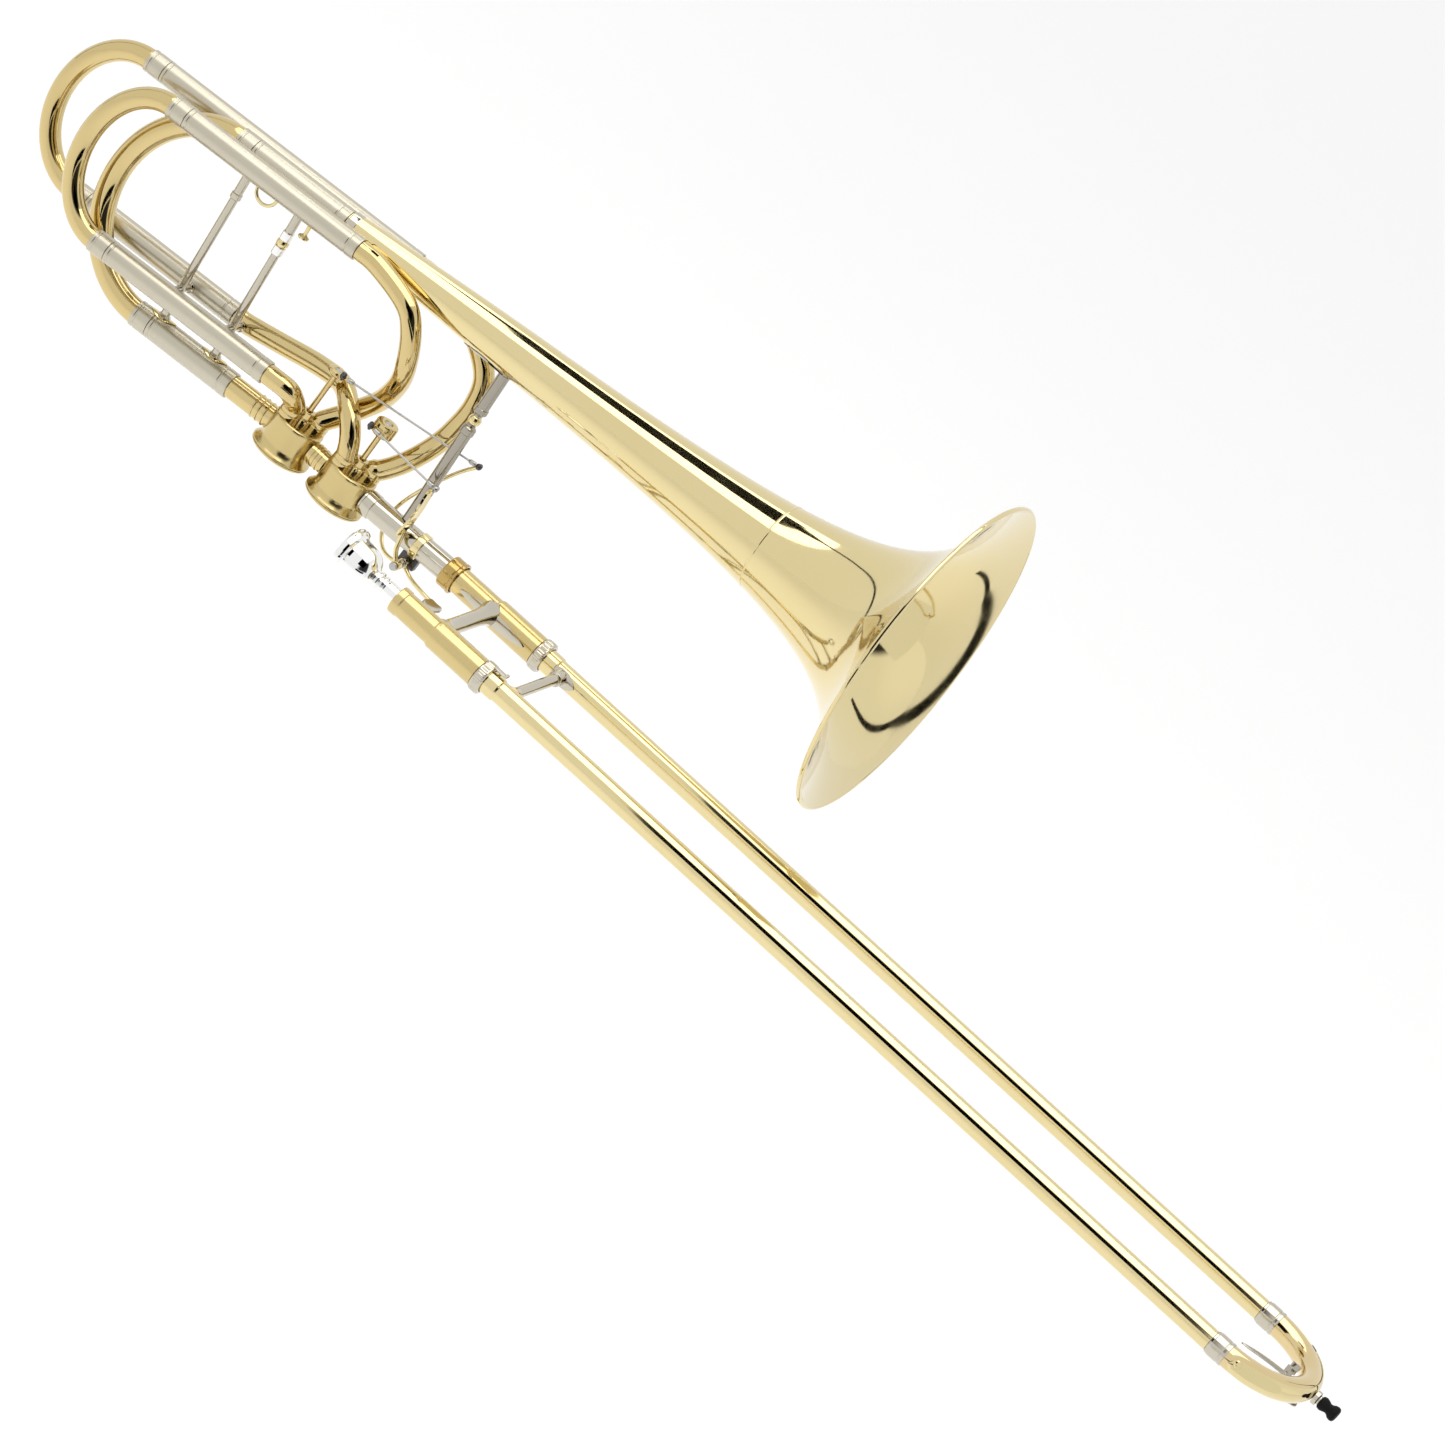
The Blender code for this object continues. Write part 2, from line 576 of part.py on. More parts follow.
def valve(number, section):
    """Casing, bottom cap, rotor and the stop arm that turns it."""
    x = VALVE_X[number]
    spot = (x, 0, 0)
    stem_hole = 0.0026
    outline = [(stem_hole, VALVE_TOP), (VALVE_R - 0.0012, VALVE_TOP),
               (VALVE_R, VALVE_TOP - 0.0012), (VALVE_R + 0.0003, -0.0118),
               (VALVE_R + 0.0022, -0.0150), (VALVE_R + 0.0036, VALVE_BOTTOM),
               (VALVE_R - 0.0012, VALVE_BOTTOM), (VALVE_R - 0.0012, VALVE_TOP - 0.0016),
               (stem_hole, VALVE_TOP - 0.0016)]
    turned(f"valve_casing_{number}", outline, "lacquer", spot, section, 20, UPRIGHT,
           closed=True)
    low = VALVE_BOTTOM - GAP
    turned(f"valve_cap_{number}", [(0, low), (VALVE_R + 0.0036, low),
                                   (VALVE_R + 0.0030, low - 0.0022),
                                   (VALVE_R - 0.0040, low - 0.0034), (0, low - 0.0038)],
           "lacquer", spot, section, 20, UPRIGHT)
    spin = empty(f"rotor_{number}_pivot", spot, section)
    middle, drum_r, half = DRUM[number]
    body = VALVE_R - 0.0018
    stem = middle - half + 0.0005
    rotor = turned(f"rotor_{number}", [(0, stem), (0.0021, stem),
                                       (0.0021, 0.0055), (body, 0.0055),
                                       (body, VALVE_BOTTOM + 0.0006),
                                       (0, VALVE_BOTTOM + 0.0006)],
                   "nickel", (0, 0, 0), spin, 16, UPRIGHT)
    rotor = as_mesh(rotor)
    bore = as_mesh(rod(f"rotor_bore_{number}", (-0.03, 0, PORT_Z), (0.03, 0, PORT_Z), 0.0070,
                       "steel", spin, steps=12))
    combine(rotor, bore, "DIFFERENCE")
    socket, floor = snug(0.0021), middle - half
    drum = turned(f"stop_arm_{number}", [(0, middle + half), (drum_r - 0.0015, middle + half),
                                         (drum_r, middle + half - 0.0015), (drum_r, floor),
                                         (socket, floor), (socket, floor + 0.0010),
                                         (0, floor + 0.0010)],
                  "lacquer", (0, 0, 0), spin, 16, UPRIGHT)
    drum = as_mesh(drum)
    knob = arm_ball(number)
    bar_z = middle + STOP_ARM[number][2]
    arm = as_mesh(rod(f"stop_arm_bar_{number}", (knob[0] * 0.5, knob[1] * 0.5, bar_z),
                      (knob[0], knob[1], bar_z), 0.0018, "lacquer", spin, steps=8))
    combine(drum, arm, "UNION")
    tip = as_mesh(ball(f"stop_arm_ball_{number}", knob, 0.0026, "steel", spin))
    combine(drum, tip, "UNION")


def arm_ball(number):
    """Where the link rod's ball sits, from the rotor's axis."""
    reach, angle, _, height = STOP_ARM[number]
    return (reach * math.cos(angle), reach * math.sin(angle), DRUM[number][0] + height)


def valve_tubing(section):
    """The pipes between the valves, the loops and the sleeves."""
    top = VALVE_TOP + 0.0008
    first, second = VALVE_X[1], VALVE_X[2]
    ring("valve_link", second + VALVE_R + 0.0008, first - VALVE_R - 0.0008, MAIN_R - 0.0010,
         MAIN_R - 0.0016, "lacquer", (0, 0, PORT_Z), section)

    def leg(point):
        world = in_bell_frame(point)
        return (world[0], world[1] - HALF_SPACING, world[2])

    low_end = leg((-0.0077, -LOOP_Y, FRONT_LOW))
    pipe("front_loop_inlet", smooth_route(
        [low_end, leg((-0.0020, -LOOP_Y, FRONT_LOW)), (-0.2035, -0.0190, 0.0270),
         (second - 0.0086, -0.0100, 0.0190), (second - 0.0082, -0.0074, top + 0.0050)], 7)
         + [(second - 0.0082, -0.0074, top)], LOOP_R - 0.0003, "lacquer", parent=section)
    high_end = leg((0.0033, -LOOP_Y, FRONT_HIGH))
    pipe("front_loop_outlet", smooth_route(
        [high_end, leg((0.0200, -LOOP_Y, FRONT_HIGH - 0.001)), (-0.1720, -LOOP_Y, 0.1330),
         (-0.1580, -0.0200, 0.1190), (-0.1500, -0.0130, 0.0980), (-0.1495, 0.0000, 0.0780),
         (-0.1555, 0.0130, 0.0560), (-0.1640, 0.0175, 0.0400), (-0.1730, 0.0145, 0.0255),
         (second + 0.0084, 0.0076, top + 0.0050)], 15) + [(second + 0.0084, 0.0076, top)],
         LOOP_R - 0.0003, "lacquer", parent=section)
    rear_low = leg((-0.0627, LOOP_Y, REAR_LOW))
    pipe("rear_loop_inlet", smooth_route(
        [rear_low, leg((-0.0530, LOOP_Y, REAR_LOW)), (-0.2400, 0.0215, 0.0320),
         (-0.2080, 0.0195, 0.0400), (-0.1840, 0.0105, 0.0447), (-0.1670, -0.0030, 0.0405),
         (-0.1530, -0.0080, 0.0280), (first - 0.0082, -0.0074, top + 0.0050)], 14)
         + [(first - 0.0082, -0.0074, top)], LOOP_R - 0.0003, "lacquer", parent=section)
    rear_high = leg((0.0303, LOOP_Y, REAR_HIGH))
    pipe("rear_loop_outlet", smooth_route(
        [rear_high, leg((0.0450, 0.0222, REAR_HIGH - 0.0005)), leg((0.0760, 0.0226, 0.1375)),
         (-0.1130, LOOP_Y, 0.1180), (-0.1035, 0.0210, 0.0950), (-0.1045, 0.0195, 0.0700),
         (-0.1085, 0.0175, 0.0520), (-0.1165, 0.0135, 0.0320), (-0.1255, 0.0100, 0.0180),
         (first + 0.0084, 0.0076, top + 0.0050)], 15) + [(first + 0.0084, 0.0076, top)],
         LOOP_R - 0.0003, "lacquer", parent=section)


def neckpipe(section):
    """The nickel pipe from the first valve into the slide, bent a little."""
    start = VALVE_X[1] + VALVE_R + 0.0008
    pipe("neckpipe", smooth_route([(start, 0, PORT_Z), (-0.1000, 0, PORT_Z + 0.0006),
                                   (-0.0700, 0, -0.0010), (NECK_END, 0, 0)], 7),
         MAIN_R, "nickel", parent=section, wall=0.0010)


def bell_lock_nut(section):
    """A nut on the neckpipe, closed behind, that covers the barrel's flange."""
    pivot = empty("lock_nut_pivot", (0, 0, 0), section)
    inner, collar = snug(BARREL_R + 0.0006), snug(MAIN_R)
    front, back = LOCK_NUT_END + 0.0113, LOCK_NUT_END
    turned("bell_lock_nut", [(inner, front), (0.0125, front), (0.0125, back + 0.0012),
                             (0.0113, back), (collar, back), (collar, back + 0.0020),
                             (inner, back + 0.0030)],
           "lacquer", (0, 0, 0), pivot, closed=True)


def braces(frame):
    """Struts between the main legs, each with a cross bar between the loop sleeves."""
    low, high = MAIN_R + 0.0012, LEG_SPACING - MAIN_R - 0.0012
    side = LOOP_Y - LOOP_R - 0.0014
    for name, x in (("tuning_brace_rear", -0.1000), ("tuning_brace_front", -0.0540)):
        strut = as_mesh(rod(name, (x, 0, low), (x, 0, high), 0.0036, "nickel", frame,
                            steps=10))
        cross = as_mesh(rod(f"{name}_bar", (x, -side, FRONT_LOW), (x, side, REAR_LOW), 0.0030,
                            "nickel", frame, steps=10))
        combine(strut, cross, "UNION")


def bell_brace(section):
    """Two tubes with a ball joint between the neckpipe and a leaf on the bell."""
    foot = (-0.0870, 0, MAIN_R + 0.0004 + PORT_Z * 0.5)
    head_z = LEG_SPACING - bell_radius(0.130) - 0.0022
    head = in_bell_frame((0.1300, 0, head_z))
    head = (head[0], 0, head[2])
    a, b = Vector(foot), Vector(head)
    length = (b - a).length
    turn = (b - a).to_track_quat("Z", "Y").to_euler()
    outline = [(0, length), (0.0044, length), (0.0044, length * 0.78), (0.0052, length * 0.78),
               (0.0052, length * 0.74), (0.0036, length * 0.73), (0.0044, length * 0.69),
               (0.0036, length * 0.65), (0.0052, length * 0.64), (0.0052, length * 0.60),
               (0.0044, length * 0.60), (0.0044, 0), (0, 0)]
    turned("bell_brace", outline, "nickel", foot, section, 12, turn)


def levers(section):
    """Two keys on one pin under the neckpipe, each with a rod to its rotor."""
    pin_x, pin_z = LEVER_PIN
    hinge = as_mesh(block("lever_hinge", (0.0140, 0.0064, 0.0090), "nickel",
                          (pin_x, 0.0040, pin_z + 0.0015), section, bevel=0))
    hole = as_mesh(rod("hinge_pin_hole", (pin_x, -0.02, pin_z), (pin_x, 0.03, pin_z), 0.0019,
                       "steel", section))
    combine(hinge, hole, "DIFFERENCE")
    rod("lever_pin", (pin_x, -0.0200, pin_z), (pin_x, 0.0090, pin_z), 0.0014, "steel", section)

    finger = empty("finger_lever_pivot", (pin_x, 0, pin_z), section)
    tip = FINGER_BALL
    hub = as_mesh(ring("finger_lever", -0.0002, 0.0058, 0.0034, snug(0.0014, 12), "lacquer",
                       (0, 0, 0), finger, 12, rotation=(math.pi / 2, 0, 0)))
    back = as_mesh(wire("finger_lever_back", smooth_route(
        [(-0.0020, -0.0030, -0.0016), (-0.0080, -0.0020, -0.0042), (-0.0190, 0.0040, -0.0060),
         (-0.0280, 0.0100, -0.0010), (-0.0320, 0.0128, 0.0080), (-0.0310, 0.0134, 0.0240),
         (-0.0230, 0.0132, 0.0460), (-0.0110, 0.0128, 0.0700),
         (tip[0] - pin_x, tip[1], tip[2] - pin_z)], 14), 0.0016, "lacquer", parent=finger))
    combine(hub, back, "UNION")
    front = as_mesh(wire("finger_lever_front", smooth_route(
        [(0.0020, -0.0030, -0.0016), (0.0120, -0.0060, -0.0040), (0.0240, -0.0100, -0.0040),
         (0.0330, -0.0120, -0.0040)], 8), 0.0016, "lacquer", parent=finger))
    combine(hub, front, "UNION")
    paddle = as_mesh(block("finger_paddle", (0.0140, 0.0160, 0.0018), "nickel",
                           (0.0380, -0.0180, -0.0040), finger, bevel=0))
    combine(hub, paddle, "UNION")
    end = as_mesh(ball("finger_ball", (tip[0] - pin_x, tip[1], tip[2] - pin_z), 0.0026,
                       "steel", finger))
    combine(hub, end, "UNION")

    thumb = empty("thumb_lever_pivot", (pin_x, 0, pin_z), section)
    tip = THUMB_BALL
    hub = as_mesh(ring("thumb_lever", 0.0120, 0.0180, 0.0034, snug(0.0014, 12), "lacquer",
                       (0, 0, 0), thumb, 12, rotation=(math.pi / 2, 0, 0)))
    stalk = as_mesh(wire("thumb_lever_stalk", smooth_route(
        [(-0.0018, -0.0150, 0.0016), (-0.0070, -0.0152, 0.0100), (-0.0100, -0.0150, 0.0230)],
        4), 0.0018, "lacquer", parent=thumb))
    combine(hub, stalk, "UNION")
    paddle = as_mesh(block("thumb_paddle", (0.0018, 0.0130, 0.0390), "lacquer",
                           (-0.0100, -0.0178, 0.0390), thumb, bevel=0))
    combine(hub, paddle, "UNION")
    end = as_mesh(ball("thumb_ball", (tip[0] - pin_x, tip[1], tip[2] - pin_z), 0.0026,
                       "steel", thumb))
    combine(hub, end, "UNION")
    return finger, thumb


def link_rods(finger, thumb):
    """Thin rods from the levers' balls back to the stop arms, open at the arms."""
    pin_x, pin_z = LEVER_PIN
    for number, lever, tip in ((2, finger, FINGER_BALL), (1, thumb, THUMB_BALL)):
        knob = arm_ball(number)
        goal = Vector((VALVE_X[number] + knob[0], knob[1], knob[2]))
        start = Vector(tip)
        direction = (goal - start).normalized()
        pivot = empty(f"link_rod_{number}_pivot", start - Vector((pin_x, 0, pin_z)), lever)
        rod(f"link_rod_{number}", direction * 0.0032,
            goal - start - direction * 0.0038, 0.0010, "steel", pivot, steps=8)


def lever_spring(section):
    """The torsion coil that returns the levers."""
    pin_x, pin_z = LEVER_PIN
    coil = helix((pin_x, -0.0110, pin_z), 0.0026, 0.0012, 4)
    tail = [(pin_x + 0.0032, -0.0060, pin_z + 0.0040)]
    wire("lever_spring", coil + tail, 0.0004, "steel", parent=section, roundness=0)


def sleeve_fittings(frame, tube):
    """Joins the finger ring and the small knob to the front loop's upper sleeve."""
    z = FRONT_HIGH - LOOP_R - 0.0004
    loop = [(px, -LOOP_Y, pz) for px, _, pz in arc((-0.0740, z), 0.0085, 178, 362, 12)]
    hoop = as_mesh(wire("finger_ring", loop, 0.0013, "lacquer", parent=frame))
    combine(tube, hoop, "UNION")
    knob = as_mesh(turned("hand_knob", [(0, 0), (0.0016, 0), (0.0016, -0.0070),
                                        (0.0042, -0.0090), (0.0042, -0.0102), (0, -0.0106)],
                          "lacquer", (-0.0360, -LOOP_Y, z), frame, 12, (0, 0, 0)))
    combine(tube, knob, "UNION")


def build():
    grip = inner_slide()
    slide_lock(grip)
    carrier = outer_slide(grip)
    water_key(carrier)
    mouthpiece(grip)
    section = empty("bell_section_pivot", BELL_SIDE, grip)
    frame = empty("bell_frame", (BEND_X, 0, -0.0044), section, (0, -BELL_TILT, 0))
    bell(frame)
    sleeves_and_slides(frame)
    for number in (1, 2):
        valve(number, section)
    valve_tubing(section)
    neckpipe(section)
    bell_lock_nut(section)
    braces(frame)
    bell_brace(section)
    finger, thumb = levers(section)
    link_rods(finger, thumb)
    lever_spring(section)


build()
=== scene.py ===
from math import atan2, cos, hypot, pi, radians, sin, tanh

import bmesh
import bpy
from mathutils import Matrix, Vector


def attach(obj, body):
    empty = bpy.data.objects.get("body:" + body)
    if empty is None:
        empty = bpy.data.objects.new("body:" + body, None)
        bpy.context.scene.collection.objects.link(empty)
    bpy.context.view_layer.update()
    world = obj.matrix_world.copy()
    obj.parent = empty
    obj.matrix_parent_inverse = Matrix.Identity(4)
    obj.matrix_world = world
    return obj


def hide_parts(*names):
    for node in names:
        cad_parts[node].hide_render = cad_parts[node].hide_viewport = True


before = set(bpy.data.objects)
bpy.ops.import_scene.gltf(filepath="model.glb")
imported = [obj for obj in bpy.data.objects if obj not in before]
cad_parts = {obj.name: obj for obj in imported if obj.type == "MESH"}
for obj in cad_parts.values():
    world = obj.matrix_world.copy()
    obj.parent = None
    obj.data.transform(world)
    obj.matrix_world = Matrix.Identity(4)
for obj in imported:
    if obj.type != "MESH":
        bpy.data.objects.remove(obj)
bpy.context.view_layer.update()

scene = bpy.context.scene
alongX = Matrix.Rotation(radians(90), 4, "Y")     # a lathe's Z axis laid along X
alongY = Matrix.Rotation(radians(-90), 4, "X")    # and along Y
home = Matrix.Identity(4)


def moved(x, y, z):
    return Matrix.Translation((x, y, z))


halfSpacing = 0.0475
bellSide = moved(0, halfSpacing, 0)
mouthSide = moved(0, -halfSpacing, 0)
sides = (("BellSide", "bell_side", bellSide), ("MouthSide", "mouthpiece_side", mouthSide))
tilt = radians(4.7)
bellFrame = moved(-0.212, halfSpacing, -0.0044) @ Matrix.Rotation(-tilt, 4, "Y")


class Link:
    def __init__(self, paint, socket):
        self.paint = paint
        self.socket = socket

    def maths(self, operation, other, swapped=False):
        pair = {0: other, 1: self} if swapped else {0: self, 1: other}
        return self.paint.node("ShaderNodeMath", {"operation": operation}, pair)

    def __add__(self, other):
        return self.maths("ADD", other)

    __radd__ = __add__

    def __mul__(self, other):
        return self.maths("MULTIPLY", other)

    __rmul__ = __mul__

    def __sub__(self, other):
        return self.maths("SUBTRACT", other)

    def __rsub__(self, other):
        return self.maths("SUBTRACT", other, swapped=True)

    def __pow__(self, other):
        return self.maths("POWER", other)


class Paint:
    def __init__(self, name, owner=None, shader="Principled BSDF"):
        self.material = owner or bpy.data.materials.new(name)
        self.material.use_nodes = True
        self.tree = self.material.node_tree
        self.shader = self.tree.nodes[shader]

    def feed(self, socket, value):
        if isinstance(value, Link):
            self.tree.links.new(value.socket, socket)
        else:
            socket.default_value = value

    def node(self, kind, settings=None, inputs=None, out=0):
        made = self.tree.nodes.new(kind)
        for key, value in (settings or {}).items():
            if key == "stops":
                for stop, (spot, colour) in zip(made.color_ramp.elements, value):
                    stop.position = spot
                    stop.color = (*colour, 1)
            else:
                setattr(made, key, value)
        for key, value in (inputs or {}).items():
            self.feed(made.inputs[key], value)
        return Link(self, made.outputs[out])

    def place(self):
        return self.node("ShaderNodeTexCoord", out="Object")

    def noise(self, scale, detail=2.0, roughness=0.5):
        return self.node("ShaderNodeTexNoise", {}, {"Vector": self.place(), "Scale": scale,
                                                    "Detail": detail, "Roughness": roughness})

    def blend(self, factor, first, second):
        return self.node("ShaderNodeMix", {"data_type": "RGBA"},
                         {0: factor, 6: (*first, 1), 7: (*second, 1)}, out=2)

    def ramp(self, value, low, high):                    # 0 below low, 1 above high, eased between
        return self.node("ShaderNodeMapRange", {"interpolation_type": "SMOOTHSTEP"},
                         {"Value": value, "From Min": low, "From Max": high})

    def bump(self, height, strength, distance):
        return self.node("ShaderNodeBump", {}, {"Height": height, "Strength": strength,
                                                "Distance": distance}, out="Normal")

    def put(self, **values):
        for key, value in values.items():
            self.feed(self.shader.inputs[key.replace("_", " ")], value)


def metalPaint(name, dark, light, roughness, spread, peel, coat=0.0):
    paint = Paint(name)
    cloud = paint.noise(9.0, 3.0)                        # slow drift in tone over the sheet
    haze = paint.noise(60.0, 4.0, 0.6)                   # faint handling haze
    paint.put(Base_Color=paint.blend(cloud, dark, light), Metallic=1.0,
              Roughness=roughness + (haze ** 2.0) * spread, Coat_Weight=coat,
              Coat_Roughness=0.04, Coat_IOR=1.5)
    ripple = paint.noise(140.0)                          # the skin of the lacquer or the plating
    paint.put(Normal=paint.bump(ripple, 0.25, peel))
    return paint.material


def brushedPaint(name, dark, light, roughness, streak):
    paint = Paint(name)
    stretched = paint.node("ShaderNodeMapping", {}, {"Vector": paint.place(), "Scale": (40, 900, 900)})
    grain = paint.node("ShaderNodeTexNoise", {}, {"Vector": stretched, "Scale": 1.0, "Detail": 3.0})
    paint.put(Base_Color=paint.blend(grain, dark, light), Metallic=1.0,
              Roughness=roughness + grain * streak,
              Normal=paint.bump(grain, 0.15, 0.00002))
    return paint.material


def rubberPaint(name):
    paint = Paint(name)
    grain = paint.noise(1400.0, 3.0)
    tone = paint.blend(paint.noise(90.0), (0.004, 0.004, 0.004), (0.012, 0.011, 0.011))
    paint.put(Base_Color=tone, Roughness=0.50 + grain * 0.25, Specular_IOR_Level=0.1,
              Normal=paint.bump(grain, 0.4, 0.00008))
    return paint.material


def corkPaint(name):
    paint = Paint(name)
    spots = paint.node("ShaderNodeTexVoronoi", {}, {"Vector": paint.place(), "Scale": 900.0})
    paint.put(Base_Color=paint.blend(spots, (0.20, 0.10, 0.05), (0.56, 0.36, 0.19)),
              Roughness=0.85, Normal=paint.bump(spots, 0.6, 0.0002))
    return paint.material


def floorPaint(name):
    paint = Paint(name)
    paint.put(Base_Color=paint.blend(paint.noise(0.8), (0.93, 0.93, 0.93), (0.95, 0.95, 0.95)),
              Roughness=0.9, Specular_IOR_Level=0.0, Emission_Color=(1, 1, 1, 1),
              Emission_Strength=0.09)                    # lifts the far floor to the same white
    return paint.material


lacquer = metalPaint("lacquered_brass", (0.74, 0.61, 0.31), (0.78, 0.67, 0.37), 0.045, 0.10,
                     coat=0.35, peel=0.000002)
# darker, browner brass for the tuning slides, loops and rotor parts: partly the metal's own browner
# tone, partly painted shade standing in for the dim reflections between the crowded tubes
brassToneAndShade = metalPaint("brass_tone_and_painted_shade", (0.62, 0.475, 0.21), (0.68, 0.545, 0.26), 0.05, 0.10, coat=0.35,
                       peel=0.000005)
roseBrass = metalPaint("rose_brass", (0.70, 0.55, 0.28), (0.75, 0.60, 0.33), 0.06, 0.10, coat=0.35,
                       peel=0.000005)
# very dark brass for the bell lock nut: partly its own browner tone, partly painted shade, the
# darkness standing in for the shade the nut sits in
amberBrassAndShade = metalPaint("amber_brass_painted_shade", (0.45, 0.30, 0.09), (0.53, 0.37, 0.12), 0.10, 0.12, coat=0.3,
                   peel=0.000010)
# satin brass for the valve casings, caps and cork barrels: the rougher satin finish is real, the
# darker base colour is partly the metal's own tone and partly painted shade
satinBrassAndShade = metalPaint("satin_brass_painted_shade", (0.60, 0.465, 0.195), (0.66, 0.525, 0.24), 0.16, 0.14, coat=0.5,
                   peel=0.000015)
nickel = metalPaint("nickel_silver", (0.54, 0.50, 0.41), (0.60, 0.56, 0.47), 0.07, 0.12,
                    peel=0.000005)
greyNickel = metalPaint("polished_nickel", (0.36, 0.335, 0.28), (0.42, 0.39, 0.33), 0.05, 0.08,
                        peel=0.000004)
dullNickel = metalPaint("drawn_nickel", (0.53, 0.49, 0.39), (0.58, 0.54, 0.44), 0.26, 0.12,
                        peel=0.000006)
silver = metalPaint("silver_plate", (0.90, 0.90, 0.89), (0.94, 0.94, 0.93), 0.03, 0.06,
                    peel=0.000004)
steel = brushedPaint("bright_steel", (0.42, 0.41, 0.39), (0.55, 0.54, 0.52), 0.18, 0.20)
darkSteel = brushedPaint("dark_steel", (0.07, 0.07, 0.07), (0.13, 0.12, 0.12), 0.22, 0.20)
rubber = rubberPaint("black_rubber")
cork = corkPaint("natural_cork")


def keep(obj, look, body, stands=()):
    obj.data.materials.clear()
    obj.data.materials.append(look)
    if obj.name not in scene.collection.objects:
        scene.collection.objects.link(obj)
    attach(obj, body)
    if stands:
        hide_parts(*stands)
    return obj


def applied(obj, place):                                 # stack applied, place put in the mesh
    if obj.name not in scene.collection.objects:
        scene.collection.objects.link(obj)
    bpy.context.view_layer.update()
    seen = obj.evaluated_get(bpy.context.evaluated_depsgraph_get())
    mesh = bpy.data.meshes.new_from_object(seen)
    name = obj.name
    bpy.data.objects.remove(obj, do_unlink=True)
    mesh.transform(place)
    mesh.name = name
    made = bpy.data.objects.new(name, mesh)
    scene.collection.objects.link(made)
    return made


def soften(obj, width, segments=2, angle=28):
    if width:
        edge = obj.modifiers.new("edge", "BEVEL")
        edge.width = width
        edge.segments = segments
        edge.limit_method = "ANGLE"
        edge.angle_limit = radians(angle)
    even = obj.modifiers.new("even", "WEIGHTED_NORMAL")
    even.mode = "FACE_AREA"
    even.weight = 50
    even.keep_sharp = True


def solid(name, shape):                                  # a smooth object, the bmesh used up
    for face in shape.faces:
        face.smooth = True
    mesh = bpy.data.meshes.new(name)
    shape.to_mesh(mesh)
    shape.free()
    return bpy.data.objects.new(name, mesh)


def turned(name, outline, look, body, place=home, steps=64, edge=0.0003, stands=(), teeth=None):
    shape = bmesh.new()
    verts = [shape.verts.new((r, 0, z)) for r, z in outline]
    ends = min(outline[0][0], outline[-1][0])
    for a, b in zip(verts, verts[1:]):
        shape.edges.new((a, b))
    if ends > 0:
        shape.edges.new((verts[-1], verts[0]))
    obj = solid(name, shape)
    spin = obj.modifiers.new("turn", "SCREW")
    spin.steps = spin.render_steps = steps
    spin.use_merge_vertices = True
    spin.merge_threshold = 0.00001
    spin.use_smooth_shade = True
    obj = applied(obj, home)
    shape = bmesh.new()
    shape.from_mesh(obj.data)
    if teeth:                                            # grooves cut along the ring's outer face
        radius, depth, count = teeth
        for vert in shape.verts:
            reach = hypot(vert.co.x, vert.co.y)
            if reach > radius - 0.00005:
                wave = 0.5 - 0.5 * cos(count * atan2(vert.co.y, vert.co.x))
                vert.co.x *= 1 - depth * wave / reach
                vert.co.y *= 1 - depth * wave / reach
    bmesh.ops.recalc_face_normals(shape, faces=shape.faces)
    for face in shape.faces:
        face.smooth = True
    shape.to_mesh(obj.data)
    shape.free()
    soften(obj, edge)
    return keep(applied(obj, place), look, body, stands)


def wire(name, points, radius, look, body, place=home, roundness=6, stands=()):
    data = bpy.data.curves.new(name, "CURVE")
    data.dimensions = "3D"
    data.bevel_depth = radius
    data.bevel_resolution = roundness
    data.use_fill_caps = True
    spline = data.splines.new("POLY")
    spline.points.add(len(points) - 1)
    spline.use_smooth = True
    for slot, point in zip(spline.points, points):
        slot.co = (*(place @ Vector(point)), 1)
    return keep(bpy.data.objects.new(name, data), look, body, stands)


def block(name, size, look, body, place=home, edge=0.0004, stands=()):
    shape = bmesh.new()
    bmesh.ops.create_cube(shape, size=1.0)
    bmesh.ops.scale(shape, vec=size, verts=shape.verts)
    obj = solid(name, shape)
    soften(obj, edge, 3)
    return keep(applied(obj, place), look, body, stands)


def sheet(name, rows, thick, look, body, place=home, edge=0.00012, stands=()):
    shape = bmesh.new()                                  # a bent plate from a grid of points
    grid = [[shape.verts.new(point) for point in row] for row in rows]
    for low, high in zip(grid, grid[1:]):
        for j in range(len(low) - 1):
            shape.faces.new((low[j], high[j], high[j + 1], low[j + 1]))
    bmesh.ops.remove_doubles(shape, verts=shape.verts, dist=0.000005)
    obj = solid(name, shape)
    shell = obj.modifiers.new("sheet", "SOLIDIFY")
    shell.thickness = thick
    shell.offset = 1.0
    soften(obj, edge, 2, 40)
    return keep(applied(obj, place), look, body, stands)


def smoothPath(guides, count):                           # a curve through a few guide points
    guides = [Vector(g) for g in guides]
    ends = [2 * guides[0] - guides[1]] + guides + [2 * guides[-1] - guides[-2]]
    spans = len(guides) - 1
    points = []
    for i in range(count + 1):
        spot = min(i * spans / count, spans - 1e-9)
        k = int(spot)
        t = spot - k
        a, b, c, d = ends[k:k + 4]
        points.append(0.5 * (2 * b + (c - a) * t + (2 * a - 5 * b + 4 * c - d) * t * t
                             + (3 * b - a - 3 * c + d) * t ** 3))
    return points


def relaxed(points, rounds):                             # evens out a path, ends held
    points = [Vector(p) for p in points]
    for _ in range(rounds):
        inner = [(a + 2 * b + c) / 4 for a, b, c in zip(points, points[1:], points[2:])]
        points = [points[0]] + inner + [points[-1]]
    return points


def arc(x, z, radius, start, end, count, y=0.0):
    turns = [radians(start + (end - start) * i / count) for i in range(count + 1)]
    return [(x + radius * cos(a), y, z + radius * sin(a)) for a in turns]


